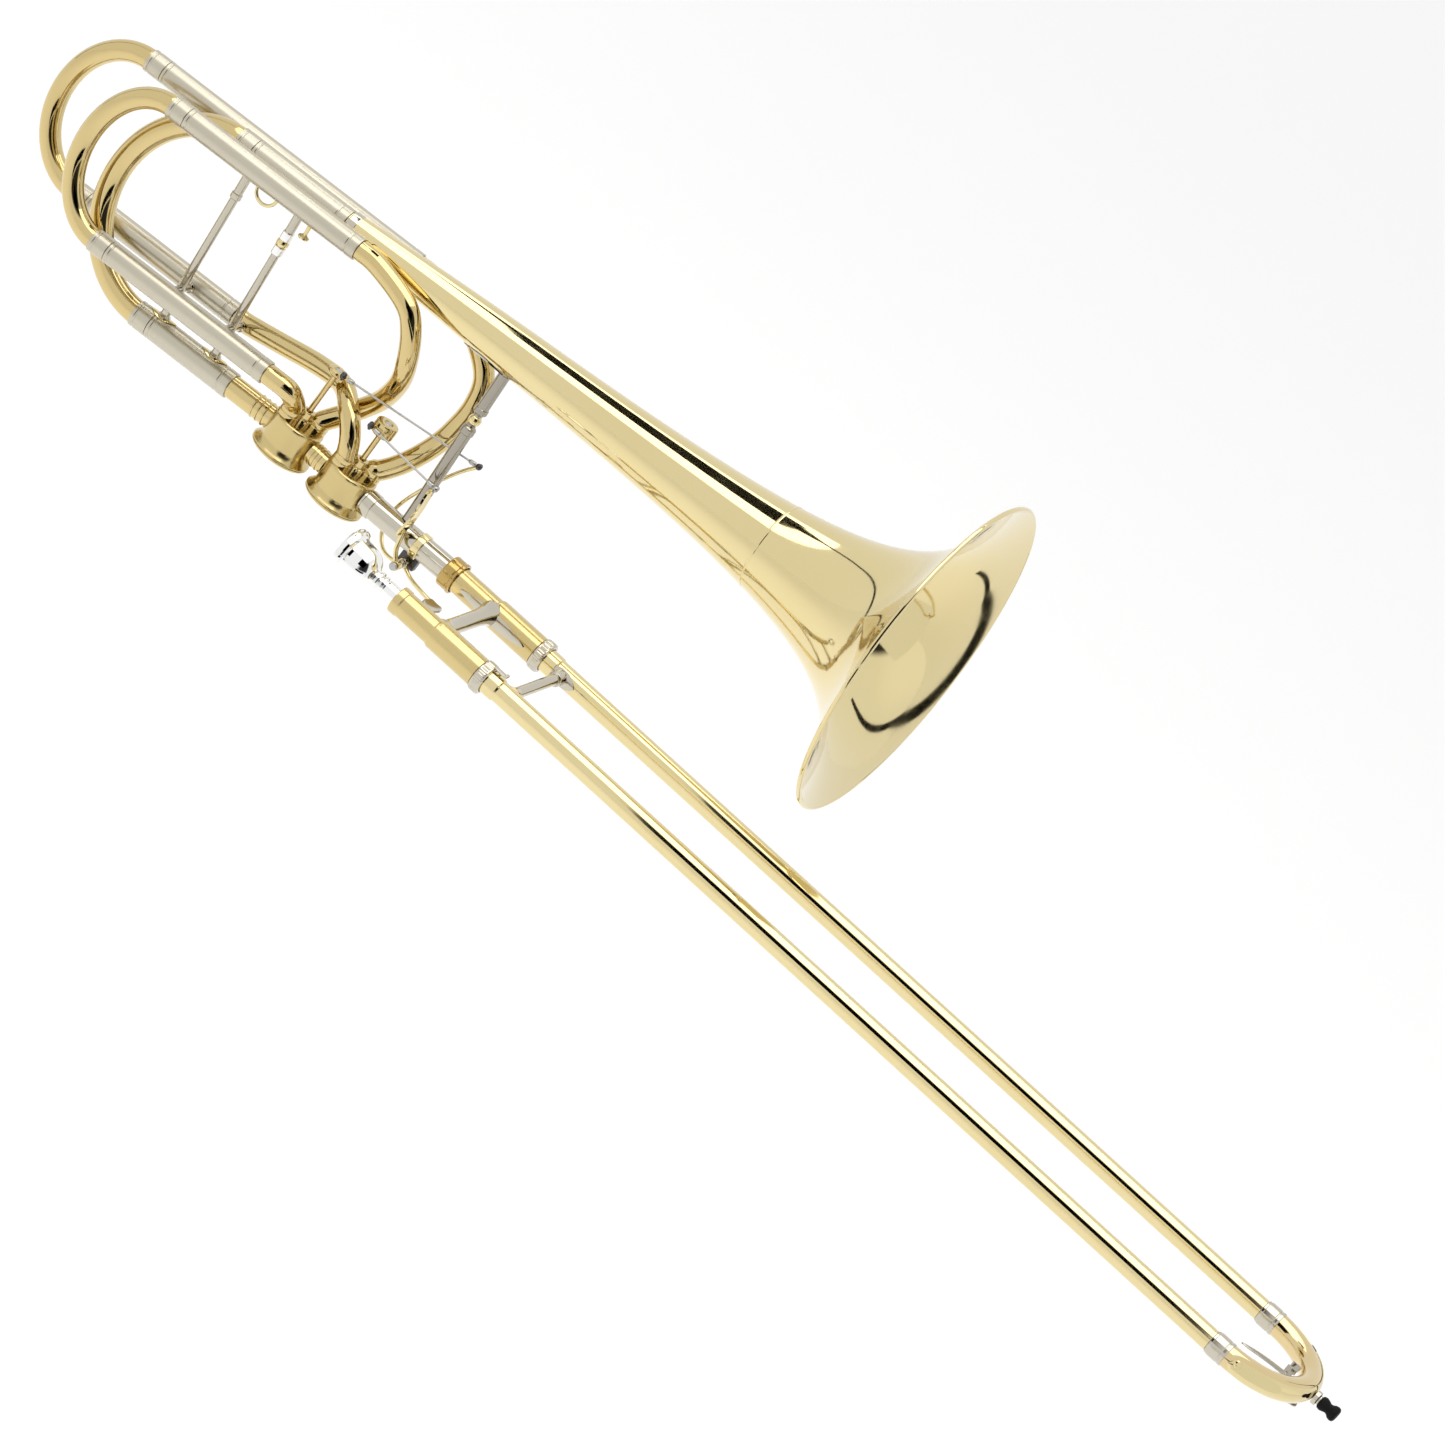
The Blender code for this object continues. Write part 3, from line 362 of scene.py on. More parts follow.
def tubeOutline(inner, outer, high, low):                # a plain length of tube
    return [(inner, high), (outer, high), (outer, low), (inner, low)]


def bead(centre, radius, minor, count=8):                # half-round bead standing on a tube
    turns = [pi * i / count for i in range(count + 1)]
    return [(radius + minor * sin(a), centre + minor * cos(a)) for a in turns]


def ballOutline(radius, count=14):
    turns = [pi * i / count for i in range(count + 1)]
    return [(radius * sin(a), radius * cos(a)) for a in turns]


def ball(name, centre, radius, look, body, stands=()):
    return turned(name, ballOutline(radius), look, body, Matrix.Translation(centre), 28, 0, stands)


def aimed(start, end):
    start, end = Vector(start), Vector(end)
    turn = (end - start).to_track_quat("Z", "Y").to_matrix().to_4x4()
    return Matrix.Translation(start) @ turn, (end - start).length


def helix(centre, radius, pitch, turnsCount, perTurn=20):
    return [(centre[0] + radius * cos(2 * pi * i / perTurn),
             centre[1] + pitch * i / perTurn,
             centre[2] + radius * sin(2 * pi * i / perTurn))
            for i in range(int(turnsCount * perTurn) + 1)]


def leaf(name, look, body, place, radius, halfLength, spread, thick=0.0007, count=26, skew=0.0):
    rows = []                                            # a pointed foot wrapped on a tube along X
    for i in range(count + 1):
        t = -1 + 2 * i / count
        width = spread * max(1 - abs(t) ** 1.9, 0.0) ** 0.8 + 0.01
        reach = radius(t * halfLength + skew) if callable(radius) else radius
        rows.append([(t * halfLength + skew, reach * sin(width * (2 * j / 8 - 1)),
                      reach * cos(width * (2 * j / 8 - 1))) for j in range(9)])
    return sheet(name, rows, thick, look, body, place)


slideTube = {"start": 0.0120, "end": 0.7090, "radius": 0.0079, "sleeveRadius": 0.0088,
             "sleeveEnd": 0.0590, "bore": 0.0072}
crook = {"start": 0.7215, "radius": 0.0085, "ferruleRadius": 0.0091, "ferruleStart": 0.7093}
guard = {"seat": 0.0088, "sweep": 84, "band": 47, "thick": 0.0006}


def outerSlide():
    t = slideTube
    outline = [(t["bore"], t["end"]), (t["radius"], t["end"]), (t["radius"], t["sleeveEnd"] + 0.0012),
               (t["sleeveRadius"], t["sleeveEnd"]), (t["sleeveRadius"], t["start"] + 0.0014),
               (t["sleeveRadius"] + 0.0004, t["start"] + 0.0010),
               (t["sleeveRadius"] + 0.0004, t["start"]), (t["bore"], t["start"])]
    for side, end, spot in sides:
        turned("slideTube" + side, outline, lacquer, "outer_slide", spot @ alongX, 72, 0.0002,
               ("outer_tube_" + end,))
        f, r = crook["ferruleStart"], crook["ferruleRadius"]
        ferrule = [(0.0080, f + 0.0142), (r - 0.0003, f + 0.0142), (r, f + 0.0138), (r, f + 0.0118),
                   (r - 0.0004, f + 0.0114), (r - 0.0004, f + 0.0106), (r, f + 0.0102),
                   (r, f + 0.0020), (r - 0.0004, f + 0.0016), (r - 0.0004, f), (0.0080, f)]
        turned("crookFerrule" + side, ferrule, nickel, "outer_slide", spot @ alongX, 64, 0.00015)
    points = [(crook["start"] - 0.0080, halfSpacing, 0)]
    points += [(crook["start"] + halfSpacing * cos(radians(a)),
                halfSpacing * sin(radians(a)), 0) for a in range(90, -91, -3)]
    points += [(crook["start"] - 0.0080, -halfSpacing, 0)]
    wire("crookBow", points, crook["radius"], roseBrass, "outer_slide", roundness=14,
         stands=("slide_crook",))
    rows = []
    for i in range(61):
        s = -1 + i / 30
        band = radians(guard["band"]) * max(1 - abs(s) ** 14, 0.0) ** 0.5 + 0.004
        sweep = radians(guard["sweep"]) * s
        row = []
        for j in range(13):
            lean = band * (j / 6 - 1)
            reach = halfSpacing + guard["seat"] * cos(lean)
            row.append((crook["start"] + reach * cos(sweep), reach * sin(sweep),
                        guard["seat"] * sin(lean)))
        rows.append(row)
    sheet("crookGuard", rows, guard["thick"], lacquer, "outer_slide", stands=("crook_guard",))
    lug = [(0, 0.0034), (0.0008, 0.0033), (0.0014, 0.0028), (0.0016, 0.0021), (0.0012, 0.0014),
           (0.0009, 0.0008), (0.0009, 0.0), (0, 0.0)]
    turned("lockLug", lug, lacquer, "outer_slide", moved(0.0535, -halfSpacing, 0.0084),
           32, 0)
    rivet = [(0, 0.0011), (0.0016, 0.0009), (0.0026, 0.0004), (0.0028, 0), (0.0028, -0.0006),
             (0, -0.0006)]
    for i, (sweep, lean) in enumerate(((-78, 20), (76, 20))):
        a, b = radians(sweep), radians(lean)
        reach = halfSpacing + (guard["seat"] + 0.0004) * cos(b)
        centre = Vector((crook["start"] + reach * cos(a), reach * sin(a),
                         (guard["seat"] + 0.0004) * sin(b)))
        outward = Vector((cos(a) * cos(b), sin(a) * cos(b), sin(b)))
        turned(f"guardRivet{i}", rivet, lacquer, "outer_slide", aimed(centre, centre + outward)[0],
               32, 0.0001)
    brace = [(0, 0.0428), (0.0052, 0.0428), (0.0054, 0.0400), (0.0054, 0.0310), (0.0050, 0.0304),
             (0.0041, 0.0300), (0.0041, -0.0300), (0.0046, -0.0306), (0.0050, -0.0330),
             (0.0058, -0.0380), (0.0072, -0.0418), (0, -0.0418)]
    turned("outerBrace", brace, nickel, "outer_slide", moved(0.0660, 0, 0) @ alongY,
           48, 0.0002, ("outer_brace",))
    for side, spin, spot in (("BellSide", 90, halfSpacing), ("MouthSide", -90, -halfSpacing)):
        place = moved(0.0660, spot, 0) @ Matrix.Rotation(radians(spin), 4, "X")
        leaf("outerBraceFoot" + side, nickel, "outer_slide", place, t["radius"] + 0.0002, 0.0130, 0.80,
             0.0006)
    print("stage: outer slide")


bumperLook = {"tip": 0.7791, "face": 0.7981}


def bumperAndKey():
    t = bumperLook["tip"]
    stem = [(0, t + 0.0088), (0.0020, t + 0.0088), (0.0020, t + 0.0046), (0.0034, t + 0.0042),
            (0.0034, t + 0.0030), (0.0052, t + 0.0024), (0.0052, t - 0.0006), (0, t - 0.0006)]
    turned("bumperStem", stem, nickel, "outer_slide", alongX, 40, 0.0002, ("bumper_stem",))
    f = bumperLook["face"]
    tip = [(0, f), (0.0040, f), (0.0052, f - 0.0008), (0.0056, f - 0.0024), (0.0052, f - 0.0046),
           (0.0040, f - 0.0062), (0.0036, f - 0.0078), (0.0044, f - 0.0098), (0.0050, f - 0.0120),
           (0.0046, f - 0.0142), (0.0034, f - 0.0150), (0, f - 0.0150)]
    turned("bumperTip", tip, rubber, "outer_slide", alongX, 48, 0.0003, ("bumper_tip",))
    apex, y, low = crook["start"] + halfSpacing, 0.0020, -0.0088
    nipple = [(0.0018, low - 0.0030), (0.0030, low - 0.0030), (0.0032, low - 0.0012),
              (0.0038, low - 0.0006), (0.0038, low + 0.0006), (0.0018, low + 0.0006)]
    turned("keyNipple", nipple, nickel, "outer_slide", moved(apex, y, 0), 40, 0.0002,
           ("water_key_nipple",))
    px, pz = 0.7540, -0.0005
    block("keySaddle", (0.0040, 0.0106, 0.0030), greyNickel, "outer_slide",
          moved(apex - crook["radius"] - 0.0036, y + 0.0014, pz + 0.0042), 0.0005,
          ("water_key_saddle",))
    for i, side in enumerate((y - 0.0034, y + 0.0062)):
        block(f"keyLug{i}", (0.0064, 0.0010, 0.0079), greyNickel, "outer_slide",
              moved(px + 0.0008, side, pz + 0.00175), 0.0003)
    pin = [(0, 0.0120), (0.0011, 0.0120), (0.0013, 0.0115), (0.0013, 0.0108), (0.0008, 0.0107),
           (0.0008, 0), (0, 0)]
    turned("keyPin", pin, steel, "outer_slide", moved(px, y - 0.0046, pz) @ alongY, 28,
           0.0001, ("water_key_pin",))
    wire("keySpring", helix((px, y + 0.0030, pz), 0.0016, 0.0007, 3), 0.0003, steel, "outer_slide",
         stands=("water_key_spring",))
    place = moved(px, y, pz)
    turned("keyBarrel", tubeOutline(0.0012, 0.0022, 0.0026, -0.0026), greyNickel, "water_key",
           place @ alongY, 32, 0.0002, ("water_key_lever",))
    rows = []
    for i in range(21):                                  # the blade, pointed at its far end
        s = i / 20
        half = 0.0029 * (1 - s ** 3) ** 0.6 + 0.0002
        x = -0.0010 - 0.0350 * s
        z = -0.0020 + 0.0008 * sin(3.1 * s) - 0.0046 * s
        rows.append([(x, half * (j / 4 - 1), z - 0.0006 * (j / 4 - 1) ** 2) for j in range(9)])
    sheet("keyBlade", rows, 0.0010, greyNickel, "water_key", place, 0.0002)
    reach, seat = apex - px, low - 0.0030 - 0.0003 - 0.0022 - 0.0003 - pz
    arm = smoothPath([(0.0006, 0, -0.0016), (0.0016, 0, -0.0070), (0.0055, 0, seat - 0.0010),
                      (reach - 0.0010, 0, seat - 0.0018)], 24)
    wire("keyArm", arm, 0.0013, greyNickel, "water_key", place)
    plate = [(0, seat), (0.0036, seat), (0.0036, seat - 0.0010), (0.0030, seat - 0.0014),
             (0, seat - 0.0014)]
    turned("keyPlate", plate, greyNickel, "water_key", place @ moved(reach, 0, 0), 36, 0.0002)
    pad = [(0, seat + 0.0025), (0.0034, seat + 0.0025), (0.0034, seat + 0.0003), (0, seat + 0.0003)]
    turned("keyCork", pad, cork, "water_key", place @ moved(reach, 0, 0), 32, 0.0004,
           ("water_key_cork",))
    print("stage: bumper and water key")


barrel = {"narrow": 0.0098, "wide": 0.0110, "end": 0.0410, "bore": 0.0072,
          "startBellSide": -0.0405, "startMouthSide": -0.0350, "ringEnd": 0.0495, "ringRadius": 0.0122}


def innerSlide():
    b = barrel
    for side, end, spot in sides:
        start = b["start" + side]
        outline = [(b["wide"] - 0.0010, b["end"]), (b["wide"], b["end"]), (b["wide"], 0.0020),
                   (b["narrow"] + 0.0002, -0.0004), (b["narrow"], -0.0010),
                   (b["narrow"], start + 0.0064), (b["narrow"] + 0.0006, start + 0.0058),
                   (b["narrow"] + 0.0006, start + 0.0006), (b["narrow"] + 0.0002, start),
                   (b["narrow"] - 0.0016, start), (b["narrow"] - 0.0016, start + 0.0120),
                   (b["bore"], start + 0.0130), (b["bore"], 0.0040), (b["wide"] - 0.0010, 0.0045)]
        turned("corkBarrel" + side, outline, satinBrassAndShade, "inner_slide", spot @ alongX, 72, 0.0002,
               ("cork_barrel_" + end,))
        tube = tubeOutline(0.0063, 0.0069, 0.690, -0.0165)
        turned("innerTube" + side, tube, nickel, "inner_slide", spot @ alongX, 56, 0.0001,
               ("inner_tube_" + end,))
        felt = tubeOutline(0.0073, 0.0094, 0.0105, 0.0045)
        turned("slideCork" + side, felt, cork, "inner_slide", spot @ alongX, 40, 0.0002,
               ("slide_cork_" + end,))
    r, s, e = b["ringRadius"], b["end"] + 0.0003, b["ringEnd"]
    ring = [(0.0093, e), (r - 0.0012, e), (r - 0.0002, e - 0.0008), (r - 0.0002, e - 0.0014),
            (r, e - 0.0016), (r, e - 0.0030), (r, e - 0.0044), (r, s + 0.0016),
            (r - 0.0002, s + 0.0014), (r - 0.0002, s + 0.0006), (r - 0.0010, s), (0.0093, s)]
    turned("barrelEndRing", ring, nickel, "inner_slide", bellSide @ alongX, 168, 0.0001,
           ("barrel_end_ring",), (r, 0.0003, 42))
    turned("slideLockRing", ring, nickel, "slide_lock", mouthSide @ alongX, 168, 0.0001,
           ("slide_lock_ring",), (r, 0.0003, 42))
    block("slideLockTongue", (0.0120, 0.0046, 0.0014), nickel, "slide_lock",
          moved(e + 0.0036, -halfSpacing, 0.01120), 0.0005)
    block("slideLockHook", (0.0022, 0.0044, 0.0022), nickel, "slide_lock",
          moved(e + 0.0087, -halfSpacing, 0.01195), 0.0005)
    guides = [(0.0092, 0.0410), (0.0080, 0.0362), (0.0068, 0.0300), (0.0061, 0.0200),
              (0.0060, 0.0100), (0.0060, -0.0100), (0.0061, -0.0200), (0.0068, -0.0300),
              (0.0080, -0.0362), (0.0092, -0.0410)]
    bar = [(p[0], p[2]) for p in smoothPath([(r0, 0, y0) for r0, y0 in guides], 36)]
    turned("handBrace", [(0, 0.0410)] + bar + [(0, -0.0410)], nickel, "inner_slide", alongY, 48, 0,
           ("hand_brace",))
    for side, spin, spot, skew in (("BellSide", 90, halfSpacing, 0.0040),
                                   ("MouthSide", -90, -halfSpacing, -0.0040)):
        place = moved(0, spot, 0) @ Matrix.Rotation(radians(spin), 4, "X")
        step = lambda x: (b["narrow"] + 0.0002 + (b["wide"] - b["narrow"])
                          * (0.5 + 0.5 * tanh(x * 900)))
        leaf("handBraceFoot" + side, nickel, "inner_slide", place, step, 0.0300, 0.40, 0.0012, 40,
             skew)
    print("stage: inner slide")


cup = {"rimEnd": -0.0850, "rimRadius": 0.0203, "shankEnd": -0.0170}


def mouthpiecePiece():
    outside = [(0.0048, cup["shankEnd"]), (0.0054, cup["shankEnd"]), (0.0063, -0.0340),
               (0.0067, -0.0432), (0.0066, -0.0450), (0.0056, -0.0462), (0.0054, -0.0470),
               (0.0068, -0.0478), (0.0070, -0.0486), (0.0066, -0.0494), (0.0052, -0.0500),
               (0.0052, -0.0506), (0.0072, -0.0516), (0.0076, -0.0526), (0.0072, -0.0536),
               (0.0062, -0.0544), (0.0066, -0.0556)]
    body = [(p[0], p[2]) for p in smoothPath(
        [(0.0078, 0, -0.0566), (0.0108, 0, -0.0586), (0.0138, 0, -0.0622), (0.0152, 0, -0.0664),
         (0.0158, 0, -0.0710), (0.0162, 0, -0.0752)], 24)]
    rim = [(0.0166, -0.0772), (0.0180, -0.0782), (0.0196, -0.0788), (0.0202, -0.0802),
           (cup["rimRadius"], -0.0818), (0.0201, -0.0832), (0.0194, -0.0844),
           (0.0182, cup["rimEnd"]), (0.0168, -0.0851), (0.0154, -0.0849), (0.0144, -0.0842),
           (0.0138, -0.0830)]
    inside = [(p[0], p[2]) for p in smoothPath(
        [(0.0136, 0, -0.0818), (0.0134, 0, -0.0770), (0.0129, 0, -0.0710), (0.0112, 0, -0.0640),
         (0.0080, 0, -0.0590), (0.0048, 0, -0.0560), (0.0034, 0, -0.0530), (0.0034, 0, -0.0480)], 36)]
    turned("mouthpieceCup", outside + body + rim + inside, silver, "mouthpiece", mouthSide @ alongX,
           96, 0.00015, ("mouthpiece",))
    print("stage: mouthpiece")


bellShape = {"tail": -0.0205, "end": 0.4796, "axis": 0.1466, "wall": 0.0006, "rim": 0.1253,
             "bead": 0.0019, "seam": 0.3520, "face": 0.4800, "mouth": 0.1247, "flare": 0.0228,
             "power": 0.70, "throat": 0.140}


def bellRadius(x):
    b = bellShape
    radius = b["mouth"] * (b["flare"] / (b["face"] + b["flare"] - x)) ** b["power"]
    if x < b["throat"]:                                  # the straighter tail
        radius -= 0.00426 * ((b["throat"] - x) / 0.1605) ** 1.7
    return radius


def bellPieces():
    b = bellShape
    count = 130
    stations = [b["end"] - (b["end"] - b["tail"]) * (1 - (1 - i / count) ** 2.1)
                for i in range(count + 1)]
    outside = [(bellRadius(x), x) for x in reversed(stations)][::-1]
    inside = []
    for r, x in outside:                                 # the wall's inner face, square to the sheet
        slope = (bellRadius(min(x + 1e-5, 0.4799)) - bellRadius(x)) / 1e-5
        lean = hypot(1, slope)
        inside.append((r - b["wall"] / lean, x + b["wall"] * slope / lean))
    inside[0] = (inside[0][0], min(inside[0][1], 0.4798))
    place = bellFrame @ moved(0, 0, b["axis"]) @ alongX
    turned("bellFlare", outside + inside[::-1], lacquer, "bell_section", place, 180, 0, ("bell",))
    turns = [2 * pi * i / 16 for i in range(17)]
    centre = (b["rim"] - b["bead"], 0.4800 - b["bead"])
    rim = [(centre[0] + b["bead"] * cos(a),
            centre[1] + b["bead"] * sin(a)) for a in turns[:-1]]
    turned("bellRimBead", rim, lacquer, "bell_section", place, 180, 0, ("bell_rim",))
    s = b["seam"]
    seam = [(bellRadius(s + w) + h, s + w) for w, h in ((0.0011, -0.0002), (0.0009, 0.0002),
                                                        (0, 0.00028), (-0.0009, 0.0002),
                                                        (-0.0011, -0.0002))]
    turned("bellSeam", seam, lacquer, "bell_section", place, 128, 0)
    collar = [(bellRadius(-0.0180) - 0.001, -0.0120)] + [(bellRadius(-0.0180) + h, x) for x, h in
              ((-0.0126, 0.0003), (-0.0136, 0.0007), (-0.0190, 0.0007), (-0.0198, 0.0003))]
    collar += [(bellRadius(-0.0180) - 0.001, -0.0204)]
    turned("bellTailCollar", collar, nickel, "bell_section", place, 64, 0.0001)
    under = bellFrame @ moved(0.1130, 0, b["axis"]) @ Matrix.Rotation(pi, 4, "X")
    leaf("bellFoot", nickel, "bell_section", under, lambda x: bellRadius(0.1130 + x) + 0.0002,
         0.0210, 0.62)
    print("stage: bell")


main = {"radius": 0.0090, "bow": -0.1176, "depth": 0.0651, "low": 0.0, "high": 0.1466, "y": 0.0,
        "lowEnd": -0.0320, "highEnd": -0.0210, "name": "main"}
front = {"radius": 0.0078, "bow": -0.1635, "depth": 0.0428, "low": 0.0322, "high": 0.1445,
         "y": -0.0220, "lowEnd": -0.0080, "highEnd": 0.0030, "name": "front"}
rear = {"radius": 0.0078, "bow": -0.2100, "depth": 0.0459, "low": 0.0345, "high": 0.1450, "y": 0.0220,
        "lowEnd": -0.0630, "highEnd": 0.0300, "name": "rear"}
ferruleLength = 0.0132


def tuningSlide(loop):
    name, r, x0 = loop["name"], loop["radius"], loop["bow"]
    rise = (loop["high"] - loop["low"]) / 2
    points = [(x0 + 0.0060, loop["y"], loop["low"])]
    points += [(x0 + (x - x0) * loop["depth"] / rise, y, z)
               for x, y, z in arc(x0, loop["low"] + rise, rise, 270, 90, 60, loop["y"])]
    points += [(x0 + 0.0060, loop["y"], loop["high"])]
    wire(name + "Bow", points, r, brassToneAndShade, name + "_slide", bellFrame, 14,
         stands=(name + "_slide",))
    for level, end in (("low", loop["lowEnd"]), ("high", loop["highEnd"])):
        place = bellFrame @ moved(0, loop["y"], loop[level]) @ alongX
        f = x0 + ferruleLength
        ferrule = [(r - 0.0010, f), (r + 0.0005, f), (r + 0.0009, f - 0.0004),
                   (r + 0.0009, f - 0.0100), (r + 0.0005, f - 0.0104), (r + 0.0005, f - 0.0114),
                   (r + 0.0009, f - 0.0118), (r + 0.0009, x0 - 0.0008), (r + 0.0004, x0 - 0.0010),
                   (r - 0.0010, x0 - 0.0010)]
        turned(f"{name}Ferrule{level.title()}", ferrule, dullNickel, name + "_slide", place, 64,
               0.00015)
        leg = tubeOutline(r - 0.0014, r - 0.0006, x0 + 0.060, x0 + 0.0120)
        turned(f"{name}Leg{level.title()}", leg, nickel, name + "_slide", place, 56, 0.0001)
        side = "lower" if level == "low" else "upper"
        start, outer = f + 0.0003, r + 0.0008
        sleeve = [(r - 0.0002, end), (outer - 0.0002, end), (outer + 0.0001, end - 0.0004),
                  (outer + 0.0001, end - 0.0074), (outer - 0.0003, end - 0.0078),
                  (outer - 0.0003, end - 0.0086), (outer, end - 0.0090), (outer, start + 0.0034),
                  (outer - 0.0003, start + 0.0030), (outer - 0.0003, start + 0.0024),
                  (outer + 0.0001, start + 0.0020), (outer + 0.0001, start), (r - 0.0002, start)]
        turned(f"{name}Sleeve{side.title()}", sleeve, dullNickel, "bell_section", place, 64, 0.00015,
               (f"{name}_sleeve_{side}",))


def sleeveFittings():
    z = front["high"] - front["radius"] - 0.0004
    loop = [(x, front["y"], h) for x, _, h in arc(-0.0740, z, 0.0085, 176, 364, 40)]
    wire("fingerRing", loop, 0.0013, lacquer, "bell_section", bellFrame, 8)
    knob = [(0, 0.0004), (0.0024, 0.0002), (0.0016, -0.0010), (0.0014, -0.0066), (0.0022, -0.0078),
            (0.0040, -0.0088), (0.0043, -0.0096), (0.0038, -0.0104), (0, -0.0106)]
    turned("handKnob", knob, lacquer, "bell_section",
           bellFrame @ moved(-0.0360, front["y"], z), 36, 0.0001)
    print("stage: tuning slides")


valveX = {1: -0.1385, 2: -0.1890}
casing = {"radius": 0.0192, "top": 0.0085, "bottom": -0.0175, "port": -0.0028}
drum = {1: (0.0460, 0.0085, 0.0050), 2: (0.0535, 0.0072, 0.0020)}
stopArm = {1: (0.0125, 240, -0.0010, -0.0010), 2: (0.0115, 310, 0.0005, 0.0040)}


def armBall(number):
    reach, bearing, _, height = stopArm[number]
    a = radians(bearing)
    return Vector((reach * cos(a), reach * sin(a), drum[number][0] + height))


def valvePieces(number):
    c, r = casing, casing["radius"]
    place = bellSide @ moved(valveX[number], 0, 0)
    shell = [(0.0026, c["top"]), (r - 0.0022, c["top"]), (r - 0.0010, c["top"] - 0.0004),
             (r - 0.0002, c["top"] - 0.0014), (r, c["top"] - 0.0030), (r, -0.0105),
             (r + 0.0005, -0.0122), (r + 0.0014, -0.0140), (r + 0.0028, -0.0156),
             (r + 0.0036, -0.0166), (r + 0.0036, c["bottom"]), (0.0026, c["bottom"])]
    turned(f"valveCasing{number}", shell, satinBrassAndShade, "bell_section", place, 96, 0.0003,
           (f"valve_casing_{number}",))
    low = c["bottom"] - 0.0003
    cap = [(0, low), (r + 0.0034, low), (r + 0.0036, low - 0.0006), (r + 0.0030, low - 0.0018),
           (r - 0.0010, low - 0.0022), (r - 0.0030, low - 0.0034), (r - 0.0060, low - 0.0037),
           (0.0080, low - 0.0032), (0.0060, low - 0.0037), (0, low - 0.0038)]
    turned(f"valveCap{number}", cap, satinBrassAndShade, "bell_section", place, 96, 0.0003,
           (f"valve_cap_{number}",))
    boss = [(0.0026, c["top"] + 0.0100), (0.0048, c["top"] + 0.0100), (0.0052, c["top"] + 0.0094),
            (0.0052, c["top"] + 0.0040), (0.0064, c["top"] + 0.0034), (0.0068, c["top"] - 0.0002),
            (0.0026, c["top"] - 0.0002)]
    turned(f"valveBoss{number}", boss, brassToneAndShade, "bell_section", place, 48, 0.0002)
    middle, wide, half = drum[number]
    body = f"rotor_{number}"
    stem = [(0, middle - half + 0.0004), (0.0021, middle - half + 0.0004), (0.0021, 0.0055),
            (r - 0.0020, 0.0055), (r - 0.0020, -0.0165), (0, -0.0165)]
    turned(f"rotorStem{number}", stem, brassToneAndShade, body, place, 56, 0.0002, (body,))
    top = middle + half
    hub = [(0, top - 0.0012), (0.0030, top - 0.0012), (0.0036, top), (wide - 0.0014, top),
           (wide - 0.0004, top - 0.0004), (wide, top - 0.0014), (wide, middle - half + 0.0008),
           (wide - 0.0006, middle - half), (0.0023, middle - half), (0.0023, middle - half + 0.0010),
           (0, middle - half + 0.0010)]
    turned(f"stopDrum{number}", hub, brassToneAndShade, body, place, 64, 0.0002, (f"stop_arm_{number}",))
    if number == 1:
        band = bead(middle, wide - 0.0002, 0.0004)
        band += [(wide - 0.0012, middle - 0.0004), (wide - 0.0012, middle + 0.0004)]
        turned("stopDrumBand", band, lacquer, body, place, 64, 0)
    screw = [(0, top - 0.0002), (0.0024, top - 0.0003), (0.0028, top - 0.0008), (0.0028, top - 0.0014),
             (0, top - 0.0014)]
    turned(f"drumScrew{number}", screw, steel, body, place, 32, 0.0001)
    knob = armBall(number)
    lift = middle + stopArm[number][2]
    bar, length = aimed((knob[0] * 0.4, knob[1] * 0.4, lift), (knob[0] * 1.06, knob[1] * 1.06, lift))
    arm = [(0, length), (0.0014, length), (0.0018, length - 0.0004), (0.0018, 0), (0, 0)]
    turned(f"stopBar{number}", arm, brassToneAndShade, body, place @ bar, 28, 0.0001)
    ball(f"stopBall{number}", place @ knob, 0.0024, darkSteel, body)
    head = [(0, 0.0030), (0.0014, 0.0030), (0.0019, 0.0025), (0.0019, 0.0012), (0.0010, 0.0008),
            (0.0010, -0.0030), (0, -0.0030)]
    turned(f"stopScrew{number}", head, darkSteel, body, place @ Matrix.Translation(knob), 28, 0.0001)


def linkTube():
    c = casing
    start, end = valveX[2] + c["radius"] - 0.0010, valveX[1] - c["radius"] + 0.0010
    tube = tubeOutline(0.0070, 0.0080, end, start)
    place = bellSide @ moved(0, 0, c["port"]) @ alongX
    turned("valveLink", tube, brassToneAndShade, "bell_section", place, 64, 0.0001, ("valve_link",))
    middle = (start + end) / 2
    for i, (spot, wide) in enumerate(((-0.0040, 0.0008), (-0.0014, 0.0012), (0.0022, 0.0008))):
        ring = tubeOutline(0.0074, 0.0086, middle + spot + wide, middle + spot - wide)
        turned(f"linkRing{i}", ring, brassToneAndShade, "bell_section", place, 64, 0.0002)


def onFrame(x, y, z):                                    # bell-frame point in the section's own place
    point = bellFrame @ Vector((x, y, z))
    return (point[0], point[1] - halfSpacing, point[2])


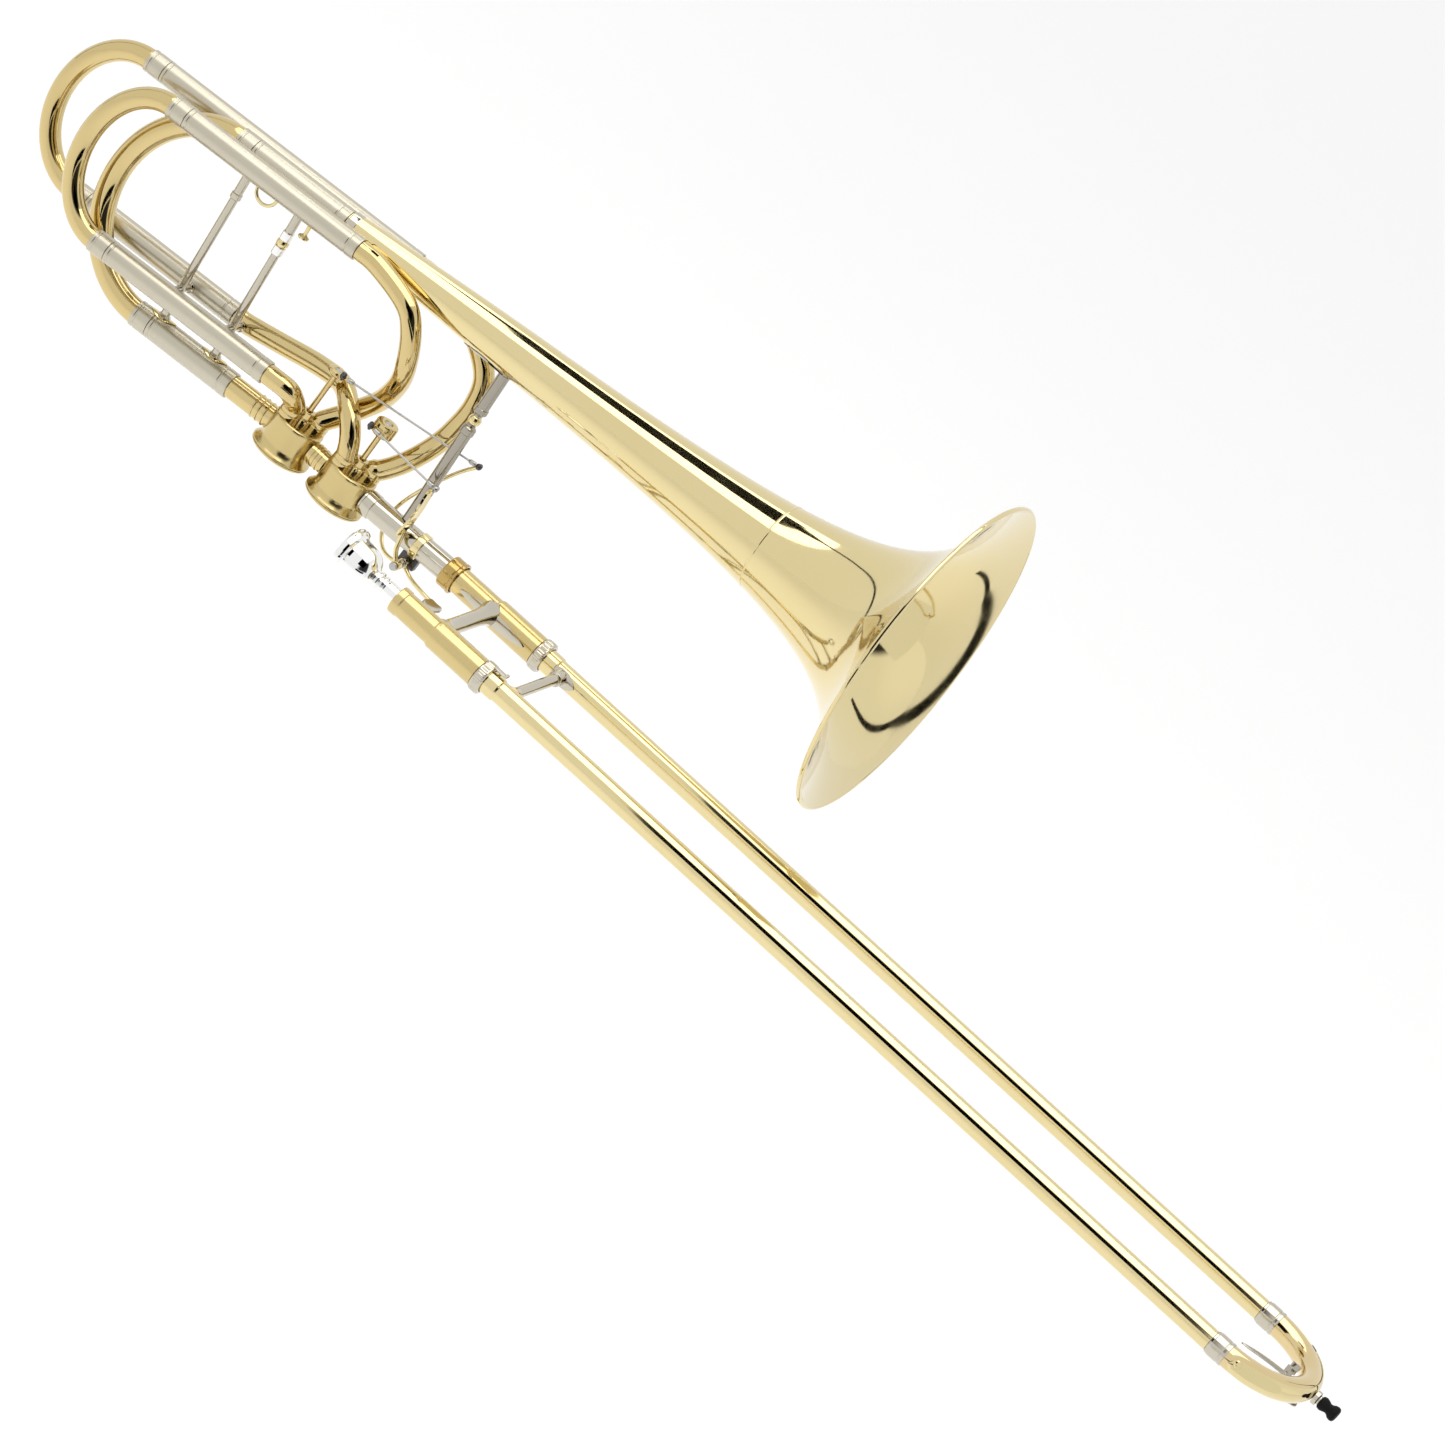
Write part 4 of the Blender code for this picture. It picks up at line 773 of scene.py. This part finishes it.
def loopPipes():
    one, two, top, r = valveX[1], valveX[2], casing["top"] - 0.0004, 0.0075
    y = front["y"]
    routes = {                                           # steps, where the pipe ends, and its guides
        "front_loop_inlet": (60, two - 0.0082, -0.0074, [
            onFrame(-0.0077, y, front["low"]), onFrame(-0.0020, y, front["low"]),
            (-0.2035, -0.0190, 0.0270), (two - 0.0086, -0.0100, 0.0190)]),
        "front_loop_outlet": (150, two + 0.0084, 0.0076, [
            onFrame(0.0033, y, front["high"]), onFrame(0.0200, y, front["high"] - 0.001),
            (-0.1720, -0.0220, 0.1330), (-0.1580, -0.0200, 0.1190), (-0.1500, -0.0130, 0.0980),
            (-0.1495, 0.0000, 0.0780), (-0.1555, 0.0130, 0.0560), (-0.1640, 0.0175, 0.0400),
            (-0.1730, 0.0145, 0.0255)]),
        "rear_loop_inlet": (140, one - 0.0082, -0.0074, [
            onFrame(-0.0627, -y, rear["low"]), onFrame(-0.0530, -y, rear["low"]),
            (-0.2400, 0.0215, 0.0320), (-0.2080, 0.0195, 0.0400), (-0.1840, 0.0105, 0.0447),
            (-0.1670, -0.0030, 0.0405), (-0.1530, -0.0080, 0.0280)]),
        "rear_loop_outlet": (150, one + 0.0084, 0.0076, [
            onFrame(0.0303, -y, rear["high"]), onFrame(0.0450, 0.0222, rear["high"] - 0.0005),
            onFrame(0.0760, 0.0226, 0.1375), (-0.1130, 0.0220, 0.1180), (-0.1035, 0.0210, 0.0950),
            (-0.1045, 0.0195, 0.0700), (-0.1085, 0.0175, 0.0520), (-0.1165, 0.0135, 0.0320),
            (-0.1255, 0.0100, 0.0180)]),
    }
    for node, (steps, x, side, guides) in routes.items():
        words = node.split("_")
        name = words[0] + "Loop" + words[2].title()
        path = relaxed(smoothPath(guides + [(x, side, 0.0143)], steps), 12)
        path += [Vector((x, side, 0.0118)), Vector((x, side, top))]
        wire(name, path, r, brassToneAndShade, "bell_section", bellSide, 12, (node,))
        knuckle = [(r - 0.0010, 0.0155), (r + 0.0006, 0.0155), (r + 0.0009, 0.0151),
                   (r + 0.0009, 0.0120), (r + 0.0005, 0.0117), (r + 0.0009, 0.0113),
                   (r + 0.0009, top), (r - 0.0010, top)]
        turned(name + "Knuckle", knuckle, brassToneAndShade, "bell_section",
               bellSide @ moved(x, side, 0), 56, 0.0002)
    start = valveX[1] + casing["radius"] - 0.0010
    neck = smoothPath([(start, 0, casing["port"]), (-0.1000, 0, casing["port"] + 0.0006),
                       (-0.0700, 0, -0.0010), (-0.0408, 0, 0)], 60)
    wire("neckpipe_", neck, main["radius"], nickel, "bell_section", bellSide, 14, stands=("neckpipe",))
    cuff = [(0.0085, 0.0080), (0.0093, 0.0080), (0.0097, 0.0076), (0.0097, 0.0006), (0.0093, 0),
            (0.0085, 0)]
    turned("neckCuff", cuff, nickel, "bell_section",
           bellSide @ moved(start + 0.0014, 0, casing["port"]) @ alongX, 64, 0.0002)
    leg = tubeOutline(main["radius"] - 0.0010, main["radius"] - 0.0004, 0.0070, -0.0330)
    place = bellFrame @ alongX
    turned("mainLeg", leg, brassToneAndShade, "bell_section", place, 64, 0.0001, ("main_leg",))
    for i, x in enumerate((-0.0090, -0.0045, 0.0004)):
        ring = [(0.0080, x + 0.0009)] + bead(x, main["radius"] - 0.0005,
                                             0.0008) + [(0.0080, x - 0.0009)]
        turned(f"legRing{i}", ring, brassToneAndShade, "bell_section", place, 64, 0)
    nut = [(0.0107, -0.0332), (0.0122, -0.0332), (0.0125, -0.0336), (0.0125, -0.0354),
           (0.0118, -0.0360), (0.0121, -0.0372), (0.0121, -0.0430), (0.0116, -0.0442),
           (0.0108, -0.0445), (0.0094, -0.0445), (0.0094, -0.0426), (0.0107, -0.0416)]
    turned("bellLockNut", nut, amberBrassAndShade, "bell_lock_nut", bellSide @ alongX, 96, 0.0003,
           ("bell_lock_nut",))
    print("stage: valves and loops")


def braceSet():
    low, high = main["radius"] + 0.0006, main["high"] - main["radius"] - 0.0006
    for name, x, joint in (("tuning_brace_rear", -0.1000, False),
                           ("tuning_brace_front", -0.0540, True)):
        strut = [(0, high), (0.0046, high), (0.0050, high - 0.0010), (0.0040, high - 0.0024),
                 (0.0035, high - 0.0030), (0.0035, high - 0.0220), (0.0042, high - 0.0224),
                 (0.0042, high - 0.0262), (0.0035, high - 0.0266), (0.0031, high - 0.0270),
                 (0.0031, low + 0.0262), (0.0035, low + 0.0258), (0.0035, low + 0.0030),
                 (0.0040, low + 0.0024), (0.0050, low + 0.0010), (0.0046, low), (0, low)]
        label = "tuningBraceFront" if joint else "tuningBraceRear"
        turned(label, strut, nickel, "bell_section", bellFrame @ moved(x, 0, 0), 40,
               0.0001, (name,))
        across = [(0, 0.0130), (0.0042, 0.0130), (0.0042, 0.0120), (0.0030, 0.0112), (0.0030, -0.0112),
                  (0.0042, -0.0120), (0.0042, -0.0130), (0, -0.0130)]
        turned(label + "Bar", across, nickel, "bell_section",
               bellFrame @ moved(x, 0, (front["low"] + rear["low"]) / 2) @ alongY, 40, 0.0001)
        if joint:
            ball(label + "Ball", bellFrame @ Vector((x, 0, 0.1060)), 0.0048, lacquer, "bell_section")
            for i, z in enumerate((0.1000, 0.1120)):
                cupRing = [(0, z + 0.0032), (0.0044, z + 0.0032), (0.0046, z + 0.0028),
                           (0.0046, z - 0.0028), (0.0044, z - 0.0032), (0, z - 0.0032)]
                turned(f"{label}Socket{i}", cupRing, silver, "bell_section",
                       bellFrame @ moved(x, 0, 0), 40, 0.0001)
        foot = bellFrame @ moved(x, 0, 0)
        leaf(label + "Foot", lacquer, "bell_section", foot, main["radius"] + 0.0009, 0.0110, 0.55,
             0.0006)
    start = (-0.0870, 0, main["radius"] + casing["port"] * 0.5)
    head = bellFrame @ Vector((0.1300, 0, main["high"] - bellRadius(0.130) - 0.0006))
    place, n = aimed(start, (head[0], 0, head[2]))
    tube = [(0, n), (0.0045, n), (0.0045, n * 0.775), (0.0051, n * 0.770), (0.0052, n * 0.745),
            (0.0044, n * 0.735), (0.0034, n * 0.730)]
    tube += [(0.0046 * sin(a), n * 0.690 + 0.0046 * cos(a)) for a in
             (0.75, 1.0, 1.3, 1.6, 1.9, 2.2, 2.4)]
    tube += [(0.0034, n * 0.650), (0.0044, n * 0.645), (0.0052, n * 0.635), (0.0052, n * 0.602),
             (0.0045, n * 0.598), (0.0045, 0), (0, 0)]
    turned("bellBrace", tube, greyNickel, "bell_section", bellSide @ place, 56, 0.0001,
           ("bell_brace",))
    ball("bellBraceBall", bellSide @ place @ Vector((0, 0, n * 0.690)), 0.00475, lacquer,
         "bell_section")
    print("stage: braces")


pinX, pinZ = -0.0710, -0.0170
fingerBall = Vector((-0.0725, 0.0120, 0.0665))
thumbBall = Vector((-0.0810, -0.0130, 0.0435))


def leverPieces():
    at = bellSide @ moved(pinX, 0, pinZ)
    block("leverHinge", (0.0140, 0.0064, 0.0090), darkSteel, "bell_section",
          bellSide @ moved(pinX, 0.0040, pinZ + 0.0015), 0.0008, ("lever_hinge",))
    clamp = [(0.0088, 0.0030), (0.0099, 0.0030), (0.0102, 0.0026), (0.0102, -0.0026),
             (0.0099, -0.0030), (0.0088, -0.0030)]
    turned("leverClamp", clamp, lacquer, "bell_section",
           bellSide @ moved(pinX + 0.0020, 0, -0.0010) @ alongX, 64, 0.0002)
    pin = [(0, 0.0150), (0.0026, 0.0150), (0.0031, 0.0145), (0.0031, 0.0122), (0.0014, 0.0120),
           (0.0014, -0.0130), (0.0026, -0.0132), (0.0030, -0.0137), (0.0030, -0.0148),
           (0.0026, -0.0152), (0, -0.0152)]
    turned("leverPin", pin, steel, "bell_section",
           bellSide @ moved(pinX, -0.0055, pinZ) @ alongY, 36, 0.0002, ("lever_pin",))
    coil = helix((pinX, -0.0110, pinZ), 0.0026, 0.0012, 4) + [(pinX + 0.0032, -0.0060, pinZ + 0.0040)]
    wire("leverSpring", coil, 0.0004, steel, "bell_section", bellSide, 4, ("lever_spring",))
    hub = [(0.0018, 0.0030), (0.0034, 0.0030), (0.0036, 0.0024), (0.0036, -0.0024), (0.0034, -0.0030),
           (0.0018, -0.0030)]
    turned("fingerHub", hub, lacquer, "finger_lever", at @ moved(0, -0.0028, 0) @ alongY, 40,
           0.0002, ("finger_lever",))
    tip = fingerBall - Vector((pinX, 0, pinZ))
    back = smoothPath([(-0.0020, -0.0030, -0.0016), (-0.0080, -0.0020, -0.0042),
                       (-0.0190, 0.0040, -0.0060), (-0.0280, 0.0100, -0.0010),
                       (-0.0320, 0.0128, 0.0080), (-0.0310, 0.0134, 0.0240),
                       (-0.0230, 0.0132, 0.0460), (-0.0110, 0.0128, 0.0700), tip], 110)
    wire("fingerWire", relaxed(back, 20), 0.0015, lacquer, "finger_lever", at, 8)
    reach = smoothPath([(0.0020, -0.0030, -0.0016), (0.0120, -0.0060, -0.0040),
                        (0.0240, -0.0100, -0.0040), (0.0330, -0.0120, -0.0040)], 40)
    wire("fingerArm", relaxed(reach, 8), 0.0016, lacquer, "finger_lever", at, 8)
    rows = []
    for i in range(17):                                  # the touch, dished and round at both ends
        s = i / 8 - 1
        half = 0.0080 * max(1 - abs(s) ** 4, 0.0) ** 0.5 + 0.0003
        rows.append([(0.0380 + 0.0070 * s, -0.0180 + half * (j / 4 - 1),
                      -0.0046 + 0.0012 * s * s + 0.0006 * (j / 4 - 1) ** 2) for j in range(9)])
    sheet("fingerTouch", rows, 0.0014, nickel, "finger_lever", at, 0.0003)
    ball("fingerBall", at @ tip, 0.0024, darkSteel, "finger_lever")
    head = [(0, 0.0034), (0.0013, 0.0034), (0.0018, 0.0029), (0.0018, 0.0016), (0.0009, 0.0012),
            (0.0009, -0.0026), (0, -0.0026)]
    turned("fingerScrew", head, darkSteel, "finger_lever",
           at @ Matrix.Translation(tip) @ alongY, 28, 0.0001)

    turned("thumbHub", hub, lacquer, "thumb_lever", at @ moved(0, -0.0150, 0) @ alongY, 40,
           0.0002, ("thumb_lever",))
    stalk = smoothPath([(-0.0018, -0.0150, 0.0016), (-0.0070, -0.0152, 0.0100),
                        (-0.0100, -0.0150, 0.0230)], 24)
    wire("thumbStalk", stalk, 0.0018, lacquer, "thumb_lever", at, 8)
    rows = []
    for i in range(33):                                  # the long touch, narrow at the top
        s = i / 32
        half = (0.0066 - 0.0022 * s) * max(1 - abs(2 * s - 1) ** 10, 0.0) ** 0.5 + 0.0003
        rows.append([(-0.0108 + 0.0016 * sin(pi * s) + 0.0010 * (j / 4 - 1) ** 2,
                      -0.0178 + half * (j / 4 - 1), 0.0196 + 0.0388 * s) for j in range(9)])
    sheet("thumbTouch", rows, 0.0018, lacquer, "thumb_lever", at, 0.0004)
    tip = thumbBall - Vector((pinX, 0, pinZ))
    ball("thumbBall", at @ tip, 0.0024, steel, "thumb_lever")
    turned("thumbScrew", head, steel, "thumb_lever", at @ Matrix.Translation(tip) @ alongY, 28, 0.0001)
    for number, start in ((2, fingerBall), (1, thumbBall)):
        goal = armBall(number) + Vector((valveX[number], 0, 0))
        along = (goal - start).normalized()
        place, n = aimed(start + along * 0.0026, goal - along * 0.0038)
        rod = [(0, n), (0.0015, n), (0.0018, n - 0.0006), (0.0018, n - 0.0040), (0.0013, n - 0.0050),
               (0.0008, n - 0.0056), (0.0008, 0.0056), (0.0013, 0.0050), (0.0018, 0.0040),
               (0.0018, 0.0006), (0.0015, 0), (0, 0)]
        turned(f"linkRod{number}", rod, steel, f"link_rod_{number}", bellSide @ place, 32, 0.0001,
               (f"link_rod_{number}",))
    print("stage: levers")


outerSlide()
bumperAndKey()
innerSlide()
mouthpiecePiece()
bellPieces()
for loop in (main, front, rear):
    tuningSlide(loop)
sleeveFittings()
for number in (1, 2):
    valvePieces(number)
linkTube()
loopPipes()
braceSet()
leverPieces()


def card(name, corners, material, shine=False):
    mesh = bpy.data.meshes.new(name)
    mesh.from_pydata(corners, [], [range(i, i + 4) for i in range(0, len(corners), 4)])
    obj = bpy.data.objects.new(name, mesh)
    scene.collection.objects.link(obj)
    obj.data.materials.append(material)
    obj.visible_camera = False
    obj.visible_diffuse = shine
    obj.visible_shadow = False
    obj.visible_transmission = False
    return obj


def flatCard(x0, x1, y0, y1, z):
    return [(x0, y0, z), (x1, y0, z), (x1, y1, z), (x0, y1, z)]


def cardPaint(name, colour, strength):
    paint = Paint(name)
    paint.put(Base_Color=(0, 0, 0, 1), Roughness=1.0, Specular_IOR_Level=0.0,
              Emission_Color=(*colour, 1), Emission_Strength=strength)
    return paint.material


room = {"floor": -0.62, "floorSize": 60.0, "world": 0.94, "gap": 0.97, "glow": 0.08,
        "topLight": 2.5}
black = cardPaint("black_card", (0, 0, 0), 0.0)
bright = cardPaint("top_light", (1.0, 0.99, 0.97), room["topLight"])

mesh = bpy.data.meshes.new("studioFloor")
shape = bmesh.new()
bmesh.ops.create_grid(shape, x_segments=8, y_segments=8, size=room["floorSize"] / 2)
shape.to_mesh(mesh)
shape.free()
floor = bpy.data.objects.new("studioFloor", mesh)
scene.collection.objects.link(floor)
floor.data.transform(moved(0, 0, room["floor"]))
floor.data.materials.append(floorPaint("pale_floor"))

card("topLightCard", flatCard(-1.25, 0.75, -1.15, 0.95, 1.75), bright, shine=True)
card("slideCard", [(-0.02, -1.020, 0.330), (0.58, -1.020, 0.330), (0.58, -0.668, 0.796),
                   (-0.02, -0.668, 0.796)], black)
card("bellCard", flatCard(-0.61, -0.39, -0.18, 0.46, 1.25), black)
card("bellStrip", [(-0.61, 0.10, 1.25), (-0.61, 0.36, 1.25), (-0.72, 0.26, 1.25), (-0.72, 0.20, 1.25)]
     + flatCard(-1.30, -0.72, 0.20, 0.26, 1.25) + [
    (-1.30, 0.14, -0.05), (-1.30, 0.20, -0.05), (-1.30, 0.26, 1.25), (-1.30, 0.20, 1.25)], black)
card("edgeStrip", flatCard(-0.39, 0.60, 0.53, 0.59, 1.25), black)
card("rightStrip", [(1.15, 0.79, -0.60), (1.15, 0.89, -0.60), (1.15, 0.89, 1.05), (1.15, 0.79, 1.05)],
     black)
card("floorGap", [(0.22, -3.1, -0.60), (2.40, -1.70, -0.60), (10.0, -6.0, -0.60), (2.1, -12.0, -0.60)],
     black)
card("crookFill", [(0.80, -0.40, -0.35), (1.35, -0.08, -0.35), (1.35, -0.08, 0.55),
                   (0.80, -0.40, 0.55)], cardPaint("fill_light", (1, 1, 1), 0.90))

world = bpy.data.worlds.new("studio")
scene.world = world
sky = Paint("sky", world, "Background")
heading = sky.node("ShaderNodeTexCoord", out="Generated")
east, north, up = [sky.node("ShaderNodeSeparateXYZ", {}, {0: heading}, out=i) for i in range(3)]
gap = (sky.ramp(east, 0.12, 0.30) * (1 - sky.ramp(north, -0.40, -0.25))
       * (1 - sky.ramp(up, 0.66, 0.82)))                 # the dark of the room beside the lights
glow = sky.ramp(east, 0.80, 0.97) * room["glow"]
sky.put(Color=(1, 1, 1, 1), Strength=room["world"] * (1 - gap * room["gap"]) + glow)

view = {"lens": 246.686, "place": (1.54617, -5.98309, 2.55720),
        "turn": (63.01820, -34.17938, 28.78748)}
cameraData = bpy.data.cameras.new("camera")
cameraData.lens = view["lens"]
cameraData.sensor_width = 36
cameraData.clip_end = 200
camera = bpy.data.objects.new("camera", cameraData)
scene.collection.objects.link(camera)
camera.location = view["place"]
camera.rotation_euler = [radians(a) for a in view["turn"]]
scene.camera = camera
scene.view_settings.view_transform = "Standard"
print("stage: room and camera")
